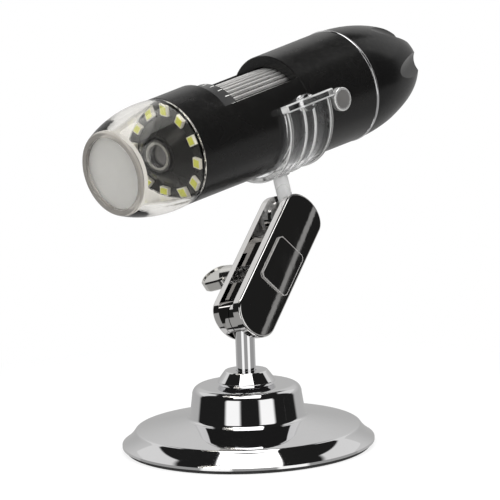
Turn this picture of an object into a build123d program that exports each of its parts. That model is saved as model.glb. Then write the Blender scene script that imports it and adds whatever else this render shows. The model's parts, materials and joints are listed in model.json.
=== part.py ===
from build123d import *
import os
from math import cos, degrees, radians, sin, sqrt

# A handheld USB microscope in a clear cradle on a chromed desk stand.
# Millimetres. +Z is up, and the origin is the middle of the base's underside.
# The arm and the microscope each have a frame of their own. The arm's +Z runs from
# the lower ball to the upper one, and its +Y along the clamp screw. The head frame's
# +X runs along the optical axis from the nose to the tail.

# Running and fitting clearances that many pieces share
flat_gap = 0.3
turning_gap = 0.08
fit_gap = 0.05
socket_gap = 0.15
overrun = 1.0

# Base: a chromed pressed shell over a cast weight, on a rubber pad
pad_inset = 0.8
pad_thickness = 1.1
pad_edge = 0.35
rim_radius = 35.5
rim_lip = 0.7
flare_width = 4.0
shoulder_height = 5.75
flare_sag = 0.55
dome_foot_radius = 17.6
dome_foot_height = 8.3
dome_foot_fillet = 1.2
dome_side_radius = 16.2
dome_top_radius = 15.4
dome_height = 17.6
dome_round = 2.4
shell_wall = 1.0
weight_rim_height = 0.5
weight_disc_inset = 2.5
weight_disc_height = 3.4
weight_hub_radius = 12.4
weight_chamfer = 0.6

# Collar nut that holds the shell down and carries the turning post
collar_neck_radius = 7.6
collar_wide_radius = 8.25
collar_wide_height = 1.1
collar_top_radius = 6.2
collar_height = 4.1
collar_top_chamfer = 0.25
spigot_radius = 5.0
spigot_length = 9.7
washer_thickness = 1.1
washer_bore = 1.6
foot_radius = 4.7
foot_thickness = 1.5

# Post and its ball
post_radius = 2.72
ball_height = 36.95
ball_radius = 4.1

# Clamp arm: two cast plates that grip a ball at each end. It leans in the XZ plane
# and tilts sideways about the lower ball
arm_length = 35.25
arm_lean = 44.95
arm_tilt = 12.3
plate_radius = 7.4
plate_half_width = 5.8
front_plate_thickness = 2.8
back_plate_thickness = 2.7
front_end_shares = (0.82, 0.71)
back_end_shares = (0.73, 0.84)
plate_edge_round = 0.7
lip_inset = 1.7
lip_wall = 0.9
lip_reach = 2.2
lip_start = 6.0
front_drum_radius = 5.3
back_drum_radius = 5.3
back_drum_reach = 2.3
post_low_angle = 37.0
post_high_angle = 83.0
stem_back_angle = 45.0
stem_forward_angle = 30.0
slot_gap = 0.3
saddle_length = 14.4
saddle_width = 10.7
saddle_offset = 0.5
saddle_rise = 0.5
saddle_centre = 17.1
saddle_corner = 0.9
saddle_round = 0.35

# Clamp screw, washer and thumb nut
screw_station = 16.4
stud_radius = 2.0
stud_depth = 1.9
stud_length = 19.5
nut_washer_radius = 4.6
nut_washer_thickness = 0.6
nut_hub_radius = 3.1
nut_hub_length = 10.4
nut_hub_chamfer = 0.4
paddle_start = 17.3
paddle_root_radius = 4.2
paddle_tip_radius = 4.55
paddle_end = 25.1
paddle_thickness = 3.2
paddle_round = 0.45
paddle_dish = 0.35
paddle_border = 0.8
paddle_lean = 16.0

# Where the microscope sits: its tilt, the sideways lean of the stem, and the
# place of the stem along and below the optical axis
head_tilt = 10.41
stem_lean = 6.73
stem_station = 59.6
stem_length = 30.75
stem_radius = 2.14

# The microscope's outside radius, which its other radii follow
body_radius = 16.22

# Cradle: a clear C-shaped clip
cradle_gap = 0.2
cradle_wall = 1.2
cradle_front = 51.44
cradle_length = 17.58
cradle_half_angle = 94.0
lip_angle = 7.0
lip_overlap_angle = 0.2
cradle_lip_height = 3.03
cradle_lip_overhang_front = 0.4
cradle_lip_overhang_rear = 0.9
cradle_lip_round = 0.45
rib_height = 0.5
rib_width = 0.8
rib_front_station = 58.01
rib_rear_station = 61.85
border_width = 1.2
cradle_boss_radius = 2.95
cradle_boss_height = 0.7
cradle_floor = 0.75
tab_radius = 2.43
tab_rise = 1.2

# Clear nose of the microscope
nose_lip_fall = 3.71
nose_lip_width = 1.36
nose_lip_round = 0.5
nose_mid_station = 7.07
nose_mid_fall = 0.98
nose_length = 20.97
nose_step = 0.08
nose_wall = 1.78
window_recess = 1.2
window_thickness = 0.8
window_ledge = 0.45
window_ledge_depth = 0.6
cavity_front_step = 0.4
cavity_mid_station = 10.11
cavity_mid_fall = 0.9
nose_spigot_length = 3.74
nose_spigot_wall = 0.7

# Front barrel with its finger window
barrel_step = 0.3
barrel_taper = 0.56
barrel_wall_station = 30.82
collar_end_station = 34.36
window_half_angle = 50.0
barrel_neck_gap = 1.11
barrel_channel_gap = 0.71
edge_break = 0.25

# Dark ring with the scale marks
scale_sink = 1.92
scale_length = 5.66

# Chassis tube that everything inside is built on
chassis_wall = 1.42
chassis_sleeve_wall = 1.41
chassis_flange_thickness = 1.5
chassis_end_station = 76.8
slot_width = 2.22

# Focus wheel
wheel_sink = 3.59
wheel_wall = 1.61
wheel_start_gap = 0.25
wheel_length = 26.48
wheel_recess = 0.5
flute_count = 48
flute_radius = 0.6
flute_depth = 0.4

# Light ring
led_board_gap = 0.2
led_board_thickness = 1.0
led_board_hole = 5.26
led_count = 12
led_inset = 1.6
led_size = 2.65
led_thickness = 1.0
led_first_angle = 10.0
hood_gap = 0.275
hood_front_radius = 5.96
hood_length = 3.13

# Lens carrier, which slides in the chassis as the wheel turns
lens_front_station = 17.48
lens_tube_radius = 4.75
lens_tube_bore = 3.44
carriage_station = 41.94
carriage_length = 9.1
lens_seat_radius = 4.09
lens_seat_depth = 3.03
lens_ring_thickness = 0.7
lens_ring_bore = 3.33
front_lens_thickness = 2.0
front_lens_sag = 0.9
rear_lens_radius = 3.64
rear_lens_depth = 2.22
rear_lens_thickness = 1.8
pin_radius = 0.9
pin_depth = 2.43
focus_travel = 4.04

# Rear shell, snapshot button and its switch
rear_station = 63.11
rear_taper = 0.4
rear_end_station = 89.13
rear_wall = 1.5
rear_front_wall = 1.8
wheel_clearance = 0.4
button_station = 74.18
button_lean = 4.0
button_radius = 3.39
button_proud = 1.55
button_round = 0.4
button_flange_radius = 3.99
button_flange_thickness = 0.5
button_travel = 0.4
button_guide_gap = 0.1
snap_board_length = 9.6
snap_board_width = 8.69
snap_board_thickness = 0.95
switch_size = 4.65
switch_height = 0.85
plunger_radius = 1.0
plunger_height = 0.3

# Trim ring, tail and cable gland
trim_width = 1.1
trim_proud = 0.12
trim_wall = 1.6
tail_station = 88.53
tail_length = 33.05
tail_end_station = 116.82
tail_wall = 1.7
tail_deep_wall = 3.0
tail_end_wall = 2.22
tail_end_round = 0.9
scallop_count = 6
scallop_radius = 4.65
scallop_start_station = 104.09
scallop_end_station = 118.24
scallop_end_line = 7.07
scallop_first_angle = 85.0
gland_radius = 3.03
gland_bore = 1.9
gland_flange_radius = 4.35
gland_flange_thickness = 1.4
gland_proud = 0.4

# Circuit boards and the sensor
sensor_board_overlap = 0.71
board_thickness = 1.2
sensor_size = 8.08
sensor_thickness = 1.0
main_board_length = 27.29
main_board_width = 18.19
chip_size = 7.07
chip_thickness = 1.0
chip_share = 0.3

# Radii of the microscope's pieces, each worked out from one outside it
rear_end_radius = body_radius + rear_taper
barrel_rear_radius = body_radius - barrel_step
barrel_front_radius = barrel_rear_radius - barrel_taper
nose_base_radius = barrel_front_radius - nose_step
nose_mid_radius = nose_base_radius - nose_mid_fall
nose_lip_radius = nose_base_radius - nose_lip_fall
nose_mouth_radius = nose_lip_radius - nose_lip_width
cavity_radius = nose_base_radius - nose_wall
cavity_mid_radius = cavity_radius - cavity_mid_fall
cavity_front_radius = nose_mouth_radius + cavity_front_step
scale_radius = body_radius - scale_sink
wheel_radius = body_radius - wheel_sink
chassis_radius = wheel_radius - wheel_wall
chassis_bore = chassis_radius - chassis_wall
chassis_sleeve_radius = chassis_radius + chassis_sleeve_wall
sensor_board_radius = chassis_bore + sensor_board_overlap
barrel_neck_radius = chassis_radius + barrel_neck_gap
barrel_channel_radius = wheel_radius + barrel_channel_gap
led_board_radius = cavity_radius - led_board_gap
led_circle_radius = led_board_radius - led_inset
hood_base_radius = led_circle_radius - led_size / 2 - hood_gap

# Frames worked out from the sizes above
arm_frame = Location((0, 0, ball_height), (-arm_tilt, 0, 0)) * Location((0, 0, 0), (0, arm_lean, 0))
upper_ball = arm_frame * Location((0, 0, arm_length))
stem_frame = Location(upper_ball.position) * Location((0, 0, 0), (0, -head_tilt, 0))
stem_frame = stem_frame * Location((0, 0, 0), (-stem_lean, 0, 0))
cradle_frame = stem_frame * Location((-stem_station, 0, stem_length))
head_frame = cradle_frame * Location((0, 0, 0), (stem_lean, 0, 0))
button_frame = head_frame * Location((0, 0, 0), (-button_lean, 0, 0))


def outline(points):
    """Closed face through the points, drawn upright in the XZ plane."""
    return Plane.XZ * make_face(Polyline(*points, close=True))


def turned(points):
    """Solid of revolution about Z from (radius, height) points."""
    return revolve(outline(points), Axis.Z)


def barrel(points):
    """Solid of revolution about X from (station, radius) points."""
    return revolve(outline(points), Axis.X)


def tube(start, end, inner, outer):
    """Plain tube along X between two stations."""
    return barrel([(start, inner), (end, inner), (end, outer), (start, outer)])


def rod(start, end, radius):
    """Plain cylinder along X between two stations."""
    return barrel([(start, 0), (end, 0), (end, radius), (start, radius)])


def block(x_range, y_range, z_range):
    """Box between the given pairs of coordinates."""
    low = [min(pair) for pair in (x_range, y_range, z_range)]
    size = [abs(pair[1] - pair[0]) for pair in (x_range, y_range, z_range)]
    centre = [low[i] + size[i] / 2 for i in range(3)]
    return Location(tuple(centre)) * Box(*size)


def wedge(half_angle, reach, start, end, middle=180.0):
    """Prism along X that fills the angles within half_angle of the middle one, measured from +Z."""
    steps = 6
    points = [(0, 0)]
    for i in range(steps + 1):
        angle = radians(middle + half_angle * (2 * i / steps - 1))
        points.append((reach * sin(angle), reach * cos(angle)))
    face = Plane.YZ * make_face(Polyline(*points, close=True))
    return Location((start, 0, 0)) * extrude(face, end - start, dir=(1, 0, 0))


def save(node, shape, frame=Location()):
    """Writes one node's STEP file with its solids in the object's own frame."""
    placed = frame * shape
    solids = placed.solids()
    export_step(solids[0] if len(solids) == 1 else Compound(solids), f"parts/{node}.step")


# Base

shoulder_radius = rim_radius - flare_width
pad_radius = rim_radius - pad_inset
weight_disc_radius = shoulder_radius - weight_disc_inset


def base_profile(inset):
    """Half section of the base shell, drawn in by inset on every side."""
    rim = rim_radius - inset
    foot = (dome_foot_radius - inset, dome_foot_height - inset)
    side = (dome_side_radius - inset, dome_foot_height + dome_foot_fillet - inset)
    side_top = (dome_top_radius - inset, dome_height - dome_round - inset)
    crown = (dome_top_radius - dome_round - inset, dome_height - inset)
    shoulder = (shoulder_radius - inset, shoulder_height - inset)
    lip_top = (rim, pad_thickness + rim_lip)
    flare_mid = (
        (shoulder[0] + lip_top[0]) / 2 - flare_sag,
        (shoulder[1] + lip_top[1]) / 2 - flare_sag,
    )
    foot_mid = (
        side[0] + (foot[0] - side[0]) * (1 - sqrt(2) / 2),
        foot[1] + (side[1] - foot[1]) * (1 - sqrt(2) / 2),
    )
    round_mid = (
        crown[0] + (side_top[0] - crown[0]) * sqrt(2) / 2,
        side_top[1] + (crown[1] - side_top[1]) * sqrt(2) / 2,
    )
    edges = Line((0, pad_thickness), (rim, pad_thickness)) + Line((rim, pad_thickness), lip_top)
    edges += ThreePointArc(lip_top, flare_mid, shoulder) + Line(shoulder, foot)
    edges += ThreePointArc(foot, foot_mid, side) + Line(side, side_top)
    edges += ThreePointArc(side_top, round_mid, crown) + Line(crown, (0, crown[1]))
    edges += Line((0, crown[1]), (0, pad_thickness))
    return Plane.XZ * make_face(edges)


def make_base_shell():
    """Pressed chrome shell, open underneath, with a hole for the collar in its dome."""
    shell = revolve(base_profile(0), Axis.Z) - revolve(base_profile(shell_wall), Axis.Z)
    hole = Cylinder(spigot_radius + fit_gap, dome_height * 2)
    return shell - hole


hub_top = dome_height - shell_wall
spigot_end = dome_height - spigot_length
foot_top = spigot_end - flat_gap
foot_bottom = foot_top - foot_thickness
washer_bottom = foot_bottom - washer_thickness


def make_base_weight():
    """Cast disc and hub that fill the shell, bored for the collar and the foot of the post."""
    rim = rim_radius - shell_wall - flat_gap
    rim_top = pad_thickness + weight_rim_height
    disc_top = pad_thickness + weight_disc_height
    body = turned([
        (0, pad_thickness), (rim, pad_thickness), (rim, rim_top),
        (weight_disc_radius + weight_chamfer, rim_top),
        (weight_disc_radius, disc_top), (weight_hub_radius, disc_top),
        (weight_hub_radius, hub_top - weight_chamfer),
        (weight_hub_radius - weight_chamfer, hub_top), (0, hub_top),
    ])
    bore = turned([
        (0, washer_bottom), (spigot_radius + fit_gap, washer_bottom),
        (spigot_radius + fit_gap, hub_top + overrun), (0, hub_top + overrun),
    ])
    return body - bore


def make_base_pad():
    """Rubber pad with a broken lower edge."""
    return turned([
        (0, 0), (pad_radius - pad_edge, 0), (pad_radius, pad_edge),
        (pad_radius, pad_thickness), (0, pad_thickness),
    ])


def make_collar_nut():
    """Collar that sits on the dome, with its spigot in the weight and the post's bore through it."""
    top = dome_height + collar_height
    wide = dome_height + collar_wide_height
    bore = post_radius + turning_gap
    return turned([
        (bore, spigot_end), (spigot_radius, spigot_end), (spigot_radius, dome_height),
        (collar_neck_radius, dome_height), (collar_wide_radius, wide),
        (collar_top_radius, top - collar_top_chamfer), (collar_top_radius - collar_top_chamfer, top),
        (bore, top),
    ])


def make_friction_washer():
    """Washer under the post's foot, which gives the swivel its friction."""
    outer = foot_radius
    return turned([
        (washer_bore, washer_bottom), (outer, washer_bottom),
        (outer, foot_bottom), (washer_bore, foot_bottom),
    ])


def make_post():
    """Post with a foot below the collar and a ball on top."""
    shaft = turned([
        (0, foot_bottom), (foot_radius, foot_bottom), (foot_radius, foot_top), (post_radius, foot_top),
        (post_radius, ball_height), (0, ball_height),
    ])
    return shaft + Location((0, 0, ball_height)) * Sphere(ball_radius)


# Clamp arm, in a frame with its origin at the lower ball and +Z towards the upper one

front_inner = -(plate_half_width - front_plate_thickness)
back_inner = plate_half_width - back_plate_thickness
stud_start = front_inner - stud_depth
stud_end = stud_start + stud_length


def stadium(radius, y_start, y_end, end_shares):
    """Slab from one ball to the other with flattened round ends, between two Y planes."""
    face = Pos(0, arm_length / 2) * Rectangle(2 * radius, arm_length)
    face += Ellipse(radius, radius * end_shares[0])
    face += Pos(0, arm_length) * Ellipse(radius, radius * end_shares[1])
    return Location((0, y_start, 0)) * extrude(Plane.XZ * face, y_end - y_start, dir=(0, 1, 0))


def slot_prism(first_angle, last_angle, half_width, y_start, y_end, at_z):
    """Room swept by a rod from a ball: angles are from -Z towards +X in the arm's frame."""
    reach = plate_radius * 2
    middle = radians((first_angle + last_angle) / 2)
    first = radians(first_angle)
    last = radians(last_angle)
    points = [
        (-half_width * cos(first), -half_width * sin(first)),
        (reach * sin(first) - half_width * cos(first), -reach * cos(first) - half_width * sin(first)),
        (reach * 1.5 * sin(middle), -reach * 1.5 * cos(middle)),
        (reach * sin(last) + half_width * cos(last), -reach * cos(last) + half_width * sin(last)),
        (half_width * cos(last), half_width * sin(last)),
    ]
    solid = extrude(outline(points), y_end - y_start, dir=(0, 1, 0))
    return Location((0, y_start, at_z)) * solid


def arm_cuts():
    """Sockets and the room for the two rods, which both plates share."""
    socket = Sphere(ball_radius + socket_gap)
    post_half = post_radius + slot_gap
    post_rise = sin(radians(arm_tilt))
    stem_half = stem_radius + slot_gap
    stem_fall = cos(radians(head_tilt)) * cos(radians(stem_lean)) * sin(radians(arm_tilt))
    stem_fall -= sin(radians(stem_lean)) * cos(radians(arm_tilt))
    stem_rest = 180 + arm_lean + head_tilt
    post_room = slot_prism(
        post_low_angle, post_high_angle, post_half,
        ball_radius * post_rise - post_half, plate_radius * post_rise + post_half, 0,
    )
    stem_room = slot_prism(
        stem_rest - stem_forward_angle, stem_rest + stem_back_angle, stem_half,
        -plate_radius * stem_fall - stem_half, stem_half, arm_length,
    )
    return [socket, Location((0, 0, arm_length)) * socket, post_room, stem_room]


def along_y(radius, y_start, y_end):
    """Cylinder on the screw's axis between two Y planes."""
    middle = (y_start + y_end) / 2
    return Location((0, middle, screw_station), (90, 0, 0)) * Cylinder(radius, y_end - y_start)


def softened(plate, outer_face, amount):
    """Plate with the rim of its outer face rounded over."""
    rim = plate.edges().filter_by_position(Axis.Y, outer_face - fit_gap, outer_face + fit_gap)
    return fillet(rim, amount)


def make_saddle():
    """Raised rectangle on the front plate's face, with clipped corners and a bevel."""
    outer = -plate_half_width
    face = Rectangle(saddle_width, saddle_length)
    face = chamfer(face.vertices(), saddle_corner)
    face = Plane.XZ * (Pos(saddle_offset, saddle_centre) * face)
    saddle = Location((0, outer - saddle_rise, 0)) * extrude(face, saddle_rise, dir=(0, 1, 0))
    top = outer - saddle_rise
    rim = saddle.edges().filter_by_position(Axis.Y, top - fit_gap, top + fit_gap)
    return chamfer(rim, saddle_round)


def make_clamp_plate_front():
    """Front plate with its raised saddle, inner lip and a drum round the lower socket."""
    outer = -plate_half_width
    plate = softened(stadium(plate_radius, outer, front_inner, front_end_shares), outer, plate_edge_round)
    for side in (-1, 1):
        lip_outer = side * (plate_radius - lip_inset)
        plate += block(
            (lip_outer - side * lip_wall, lip_outer), (front_inner, front_inner + lip_reach),
            (lip_start, arm_length - lip_start),
        )
    drum_end = back_inner - back_drum_reach - flat_gap
    drum = Location((0, (front_inner + drum_end) / 2, 0), (90, 0, 0)) * Cylinder(
        front_drum_radius, drum_end - front_inner
    )
    plate = plate + drum + make_saddle()
    for cut in arm_cuts():
        plate -= cut
    return plate - along_y(stud_radius + fit_gap, stud_start, front_inner + lip_reach)


def make_clamp_plate_back():
    """Back plate with a drum round each socket."""
    outer = plate_half_width
    plate = softened(stadium(plate_radius, back_inner, outer, back_end_shares), outer, plate_edge_round)
    for z in (0, arm_length):
        place = Location((0, back_inner - back_drum_reach / 2, z), (90, 0, 0))
        plate += place * Cylinder(back_drum_radius, back_drum_reach)
    for cut in arm_cuts():
        plate -= cut
    return plate - along_y(stud_radius + fit_gap, back_inner - overrun, outer + overrun)


def make_clamp_stud():
    """Stud pressed into the front plate."""
    return along_y(stud_radius, stud_start, stud_end)


def make_nut_washer():
    """Flat washer under the thumb nut."""
    outer = plate_half_width + nut_washer_thickness
    washer = along_y(nut_washer_radius, plate_half_width, outer)
    return washer - along_y(stud_radius + fit_gap, plate_half_width - overrun, outer + overrun)


def paddle_slab(inset, x_start, x_end):
    """Drop-shaped slab in the plane of the thumb nut's paddle, drawn in by inset."""
    root = Pos(paddle_start, 0) * Circle(paddle_root_radius - inset)
    tip = Pos(paddle_end - paddle_tip_radius, 0) * Circle(paddle_tip_radius - inset)
    face = Plane.YZ * make_hull(root.edges() + tip.edges())
    return Location((x_start, 0, 0)) * extrude(face, x_end - x_start, dir=(1, 0, 0))


def make_thumb_nut():
    """Thumb nut with a long closed hub and one flat paddle, dished on both faces."""
    base = plate_half_width + nut_washer_thickness
    top = base + nut_hub_length
    half = paddle_thickness / 2
    hub = along_y(nut_hub_radius, base, top)
    far_rim = hub.edges().filter_by_position(Axis.Y, top - fit_gap, top + fit_gap)
    hub = chamfer(far_rim, nut_hub_chamfer)
    paddle = paddle_slab(0, -half, half)
    rims = paddle.edges().filter_by_position(Axis.X, half - fit_gap, half + fit_gap)
    rims += paddle.edges().filter_by_position(Axis.X, -half - fit_gap, fit_gap - half)
    paddle = chamfer(rims, paddle_round)
    paddle -= paddle_slab(paddle_border, half - paddle_dish, half + overrun)
    paddle -= paddle_slab(paddle_border, -half - overrun, paddle_dish - half)
    paddle = Location((0, 0, screw_station), (0, paddle_lean, 0)) * paddle
    return hub + paddle - along_y(stud_radius + turning_gap, base - overrun, stud_end + flat_gap)


# Stem and cradle, in a frame turned about the optical axis so that the stem points down

cradle_bore = body_radius + cradle_gap
cradle_radius = cradle_bore + cradle_wall
stem_top = cradle_bore + cradle_floor


def make_ball_stem():
    """Clear stem with the ball that the arm grips."""
    ball = Location((stem_station, 0, -stem_length)) * Sphere(ball_radius)
    length = stem_length - stem_top - fit_gap
    shaft = Location((stem_station, 0, -stem_length + length / 2)) * Cylinder(stem_radius, length)
    return ball + shaft


def make_cradle():
    """Clear C-shaped cradle with two ribs, two borders and a thick lip at each end."""
    rear = cradle_front + cradle_length
    ring = tube(cradle_front, rear, cradle_bore, cradle_radius)
    for start in (cradle_front, rear - border_width):
        ring += tube(start, start + border_width, cradle_radius - fit_gap, cradle_radius + rib_height)
    for middle in (rib_front_station, rib_rear_station):
        rib_start = middle - rib_width / 2
        ring += tube(rib_start, rib_start + rib_width, cradle_radius - fit_gap, cradle_radius + rib_height)
    reach = cradle_radius * 4
    body = ring & wedge(cradle_half_angle, reach, cradle_front - overrun, rear + overrun)
    lip_front = cradle_front - cradle_lip_overhang_front
    lip_rear = rear + cradle_lip_overhang_rear
    for side in (-1, 1):
        bar = tube(lip_front, lip_rear, cradle_bore, cradle_bore + cradle_lip_height)
        middle = 180 + side * (cradle_half_angle + lip_angle / 2)
        half_angle = (lip_angle + lip_overlap_angle) / 2
        bar = bar & wedge(half_angle, reach, lip_front - overrun, lip_rear + overrun, middle)
        corners = bar.edges().filter_by(GeomType.LINE).filter_by(Axis.X, reverse=True)
        body += fillet(corners, cradle_lip_round)
        tab = Cylinder(tab_radius, cradle_lip_height)
        tab = Location((stem_station, 0, cradle_bore + cradle_lip_height / 2)) * tab
        edge = middle + side * (lip_angle / 2 - degrees((tab_radius - tab_rise) / cradle_radius))
        tab = Location((0, 0, 0), (-edge, 0, 0)) * tab
        body += tab - rod(cradle_front, rear, cradle_bore)
    boss_end = cradle_radius + cradle_boss_height
    boss_start = cradle_bore + cradle_wall / 2
    boss = Location((stem_station, 0, -(boss_start + boss_end) / 2)) * Cylinder(
        cradle_boss_radius, boss_end - boss_start
    )
    hole_end = boss_end + overrun
    hole = Location((stem_station, 0, -(stem_top + hole_end) / 2)) * Cylinder(
        stem_radius + turning_gap, hole_end - stem_top
    )
    return body + boss - hole


# Nose and light ring, in the head frame

shroud_end = nose_length + nose_spigot_length
barrel_bore = cavity_radius + nose_spigot_wall + fit_gap
window_back = window_recess + window_thickness


def make_nose_shroud():
    """Clear bulbous nose with a thick wall, a seat for the window and a spigot at the back."""
    ledge_radius = nose_mouth_radius - window_ledge
    front = (nose_lip_round, nose_lip_radius + nose_lip_round / 2)
    edges = Line((0, nose_mouth_radius), (0, nose_lip_radius)) + Line((0, nose_lip_radius), front)
    edges += ThreePointArc(front, (nose_mid_station, nose_mid_radius), (nose_length, nose_base_radius))
    rest = [
        (nose_length, nose_base_radius), (nose_length, barrel_bore - fit_gap),
        (shroud_end, barrel_bore - fit_gap), (shroud_end, cavity_radius),
        (nose_length, cavity_radius), (cavity_mid_station, cavity_mid_radius),
        (window_back + window_ledge_depth * 2, cavity_front_radius),
        (window_back + window_ledge_depth, ledge_radius),
        (window_back, ledge_radius), (window_back, nose_mouth_radius), (0, nose_mouth_radius),
    ]
    edges += Polyline(*rest)
    return revolve(Plane.XZ * make_face(edges), Axis.X)


def make_front_window():
    """Thin frosted disc that closes the nose."""
    return rod(window_recess, window_back, nose_mouth_radius - fit_gap)


board_front = nose_length - led_board_thickness / 4
board_back = board_front + led_board_thickness


def make_led_board():
    """Ring board that carries the lights, with a hole for the lens tube."""
    return tube(board_front, board_back, led_board_hole, led_board_radius)


def make_leds():
    """Square surface-mounted lights, evenly round the board."""
    chip = Location((board_front - led_thickness / 2, 0, led_circle_radius)) * Box(
        led_thickness, led_size, led_size
    )
    step = 360 / led_count
    return Compound([
        Location((0, 0, 0), (led_first_angle + step * i, 0, 0)) * chip for i in range(led_count)
    ])


def make_lens_hood():
    """Dark cone round the lens tube, standing on the light ring."""
    return barrel([
        (board_front, led_board_hole), (board_front, hood_base_radius),
        (board_front - hood_length, hood_front_radius), (board_front - hood_length, led_board_hole),
    ])


# Front barrel, scale ring, chassis and focus wheel

pin_station = carriage_station + carriage_length / 2
pin_run = focus_travel + pin_radius + flat_gap
scale_end = collar_end_station + scale_length
wheel_start = scale_end + wheel_start_gap
wheel_end = wheel_start + wheel_length
sleeve_start = wheel_end + flat_gap


def make_front_barrel():
    """Black front barrel that runs back under the wheel, with a finger window on top."""
    lip = barrel_front_radius - edge_break
    scale_bore = scale_radius + edge_break / 2
    body = barrel([
        (nose_length, barrel_bore), (nose_length, lip), (nose_length + edge_break, barrel_front_radius),
        (rear_station, barrel_rear_radius), (rear_station, barrel_channel_radius),
        (wheel_start, barrel_channel_radius), (wheel_start, scale_bore), (collar_end_station, scale_bore),
        (collar_end_station, barrel_neck_radius), (barrel_wall_station, barrel_neck_radius),
        (barrel_wall_station, barrel_bore),
    ])
    window = wedge(window_half_angle, barrel_rear_radius * 2, collar_end_station, rear_station + overrun, 0)
    return body - window


def make_scale_ring():
    """Dark ring in the finger window, just ahead of the wheel."""
    return tube(collar_end_station, scale_end, chassis_radius + fit_gap, scale_radius)


def make_chassis():
    """Tube with a front flange, a thicker rear sleeve and a slot for the drive pin."""
    flange_front = barrel_wall_station - chassis_flange_thickness
    end_flange = chassis_end_station - chassis_flange_thickness
    rear_bore = rear_end_radius - rear_wall
    body = barrel([
        (board_back, chassis_bore), (board_back, chassis_radius), (flange_front, chassis_radius),
        (flange_front, barrel_bore - fit_gap), (barrel_wall_station, barrel_bore - fit_gap),
        (barrel_wall_station, chassis_radius), (sleeve_start, chassis_radius),
        (sleeve_start, chassis_sleeve_radius), (end_flange, chassis_sleeve_radius),
        (end_flange, rear_bore - flat_gap), (chassis_end_station, rear_bore - flat_gap),
        (chassis_end_station, chassis_bore),
    ])
    slot = block(
        (pin_station - pin_run, pin_station + pin_run), (-slot_width / 2, slot_width / 2),
        (-chassis_radius - overrun, 0),
    )
    flat = block(
        (snap_board_start - flat_gap, snap_board_start + snap_board_length + flat_gap),
        (-rear_end_radius, -chassis_radius), (-rear_end_radius, rear_end_radius),
    )
    return body - slot - Location((0, 0, 0), (-button_lean, 0, 0)) * flat


def make_focus_wheel():
    """Fluted wheel that turns on the chassis, with a recess inside for the drive pin."""
    face = Circle(wheel_radius)
    cutter_radius = wheel_radius + flute_radius - flute_depth
    for place in PolarLocations(cutter_radius, flute_count):
        face -= place * Circle(flute_radius)
    face -= Circle(chassis_radius + turning_gap)
    wheel = Location((wheel_start, 0, 0)) * extrude(Plane.YZ * face, wheel_length, dir=(1, 0, 0))
    recess_radius = chassis_radius + turning_gap + wheel_recess
    return wheel - tube(pin_station - pin_run, pin_station + pin_run, chassis_bore, recess_radius)


# Lens carrier

def make_lens_carrier():
    """Long lens tube with a wide carriage at its back end."""
    end = carriage_station + carriage_length
    seat_end = lens_front_station + lens_ring_thickness + lens_seat_depth
    carriage_radius = chassis_bore - turning_gap
    body = barrel([
        (lens_front_station, lens_seat_radius), (lens_front_station, lens_tube_radius),
        (carriage_station, lens_tube_radius), (carriage_station, carriage_radius), (end, carriage_radius),
        (end, rear_lens_radius), (end - rear_lens_depth, rear_lens_radius),
        (end - rear_lens_depth, lens_tube_bore),
        (seat_end, lens_tube_bore), (seat_end, lens_seat_radius),
    ])
    hole = Location((pin_station, 0, -carriage_radius)) * Cylinder(pin_radius, pin_depth * 2)
    return body - hole


def make_drive_pin():
    """Pin from the carriage, through the chassis slot, into the wheel."""
    top = -(chassis_bore - turning_gap - pin_depth)
    bottom = -(chassis_radius + turning_gap + wheel_recess / 2)
    return Location((pin_station, 0, (top + bottom) / 2)) * Cylinder(pin_radius, top - bottom)


def make_lens_ring():
    """Pale ring that holds the front lens in its seat."""
    back = lens_front_station + lens_ring_thickness
    return tube(lens_front_station, back, lens_ring_bore, lens_seat_radius - fit_gap)


def make_front_lens():
    """Plano-convex front lens with its curved side forward."""
    radius = lens_seat_radius - fit_gap
    front = lens_front_station + lens_ring_thickness
    back = front + front_lens_thickness
    crown = front + front_lens_thickness / 2 - front_lens_sag
    sphere_radius = (radius * radius + front_lens_sag * front_lens_sag) / (2 * front_lens_sag)
    middle_radius = radius / 2
    middle = crown + sphere_radius - sqrt(sphere_radius * sphere_radius - middle_radius * middle_radius)
    edge = crown + front_lens_sag
    edges = ThreePointArc((crown, 0), (middle, middle_radius), (edge, radius))
    edges += Polyline((edge, radius), (back, radius), (back, 0), (crown, 0))
    return revolve(Plane.XZ * make_face(edges), Axis.X)


def make_rear_lens():
    """Flat lens at the back of the carriage."""
    seat = carriage_station + carriage_length - rear_lens_depth
    return rod(seat, seat + rear_lens_thickness, rear_lens_radius - fit_gap)


# Rear shell, button and switch

snap_board_start = button_station - snap_board_length / 2
button_top = body_radius + button_proud
switch_base = chassis_radius + snap_board_thickness
plunger_top = switch_base + switch_height + plunger_height
button_bottom = plunger_top + button_travel + button_guide_gap


def side_disc(station, radius, inner, outer):
    """Cylinder that points out of the microscope's near side between two radii."""
    return Location((station, -(inner + outer) / 2, 0), (90, 0, 0)) * Cylinder(radius, outer - inner)


def make_rear_shell():
    """Black rear barrel with a front wall round the wheel and a hole for the button."""
    bore = body_radius - rear_wall + edge_break / 2
    end_bore = rear_end_radius - rear_wall
    front_bore = wheel_radius + wheel_clearance
    body = barrel([
        (rear_station, front_bore), (rear_station, body_radius - edge_break),
        (rear_station + edge_break, body_radius), (rear_end_station, rear_end_radius),
        (rear_end_station, end_bore), (rear_station + rear_front_wall, bore),
        (rear_station + rear_front_wall, front_bore),
    ])
    hole = side_disc(button_station, button_radius + button_guide_gap, 0, button_top + overrun)
    return body - Location((0, 0, 0), (-button_lean, 0, 0)) * hole


def make_snap_button():
    """Round metal button with a thin retaining flange inside the shell."""
    cap = side_disc(button_station, button_radius, button_bottom, button_top)
    rim = cap.edges().filter_by_position(Axis.Y, -button_top - fit_gap, -button_top + fit_gap)
    cap = fillet(rim, button_round)
    flange_top = button_bottom + button_flange_thickness
    return cap + side_disc(button_station, button_flange_radius, button_bottom, flange_top)


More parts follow.
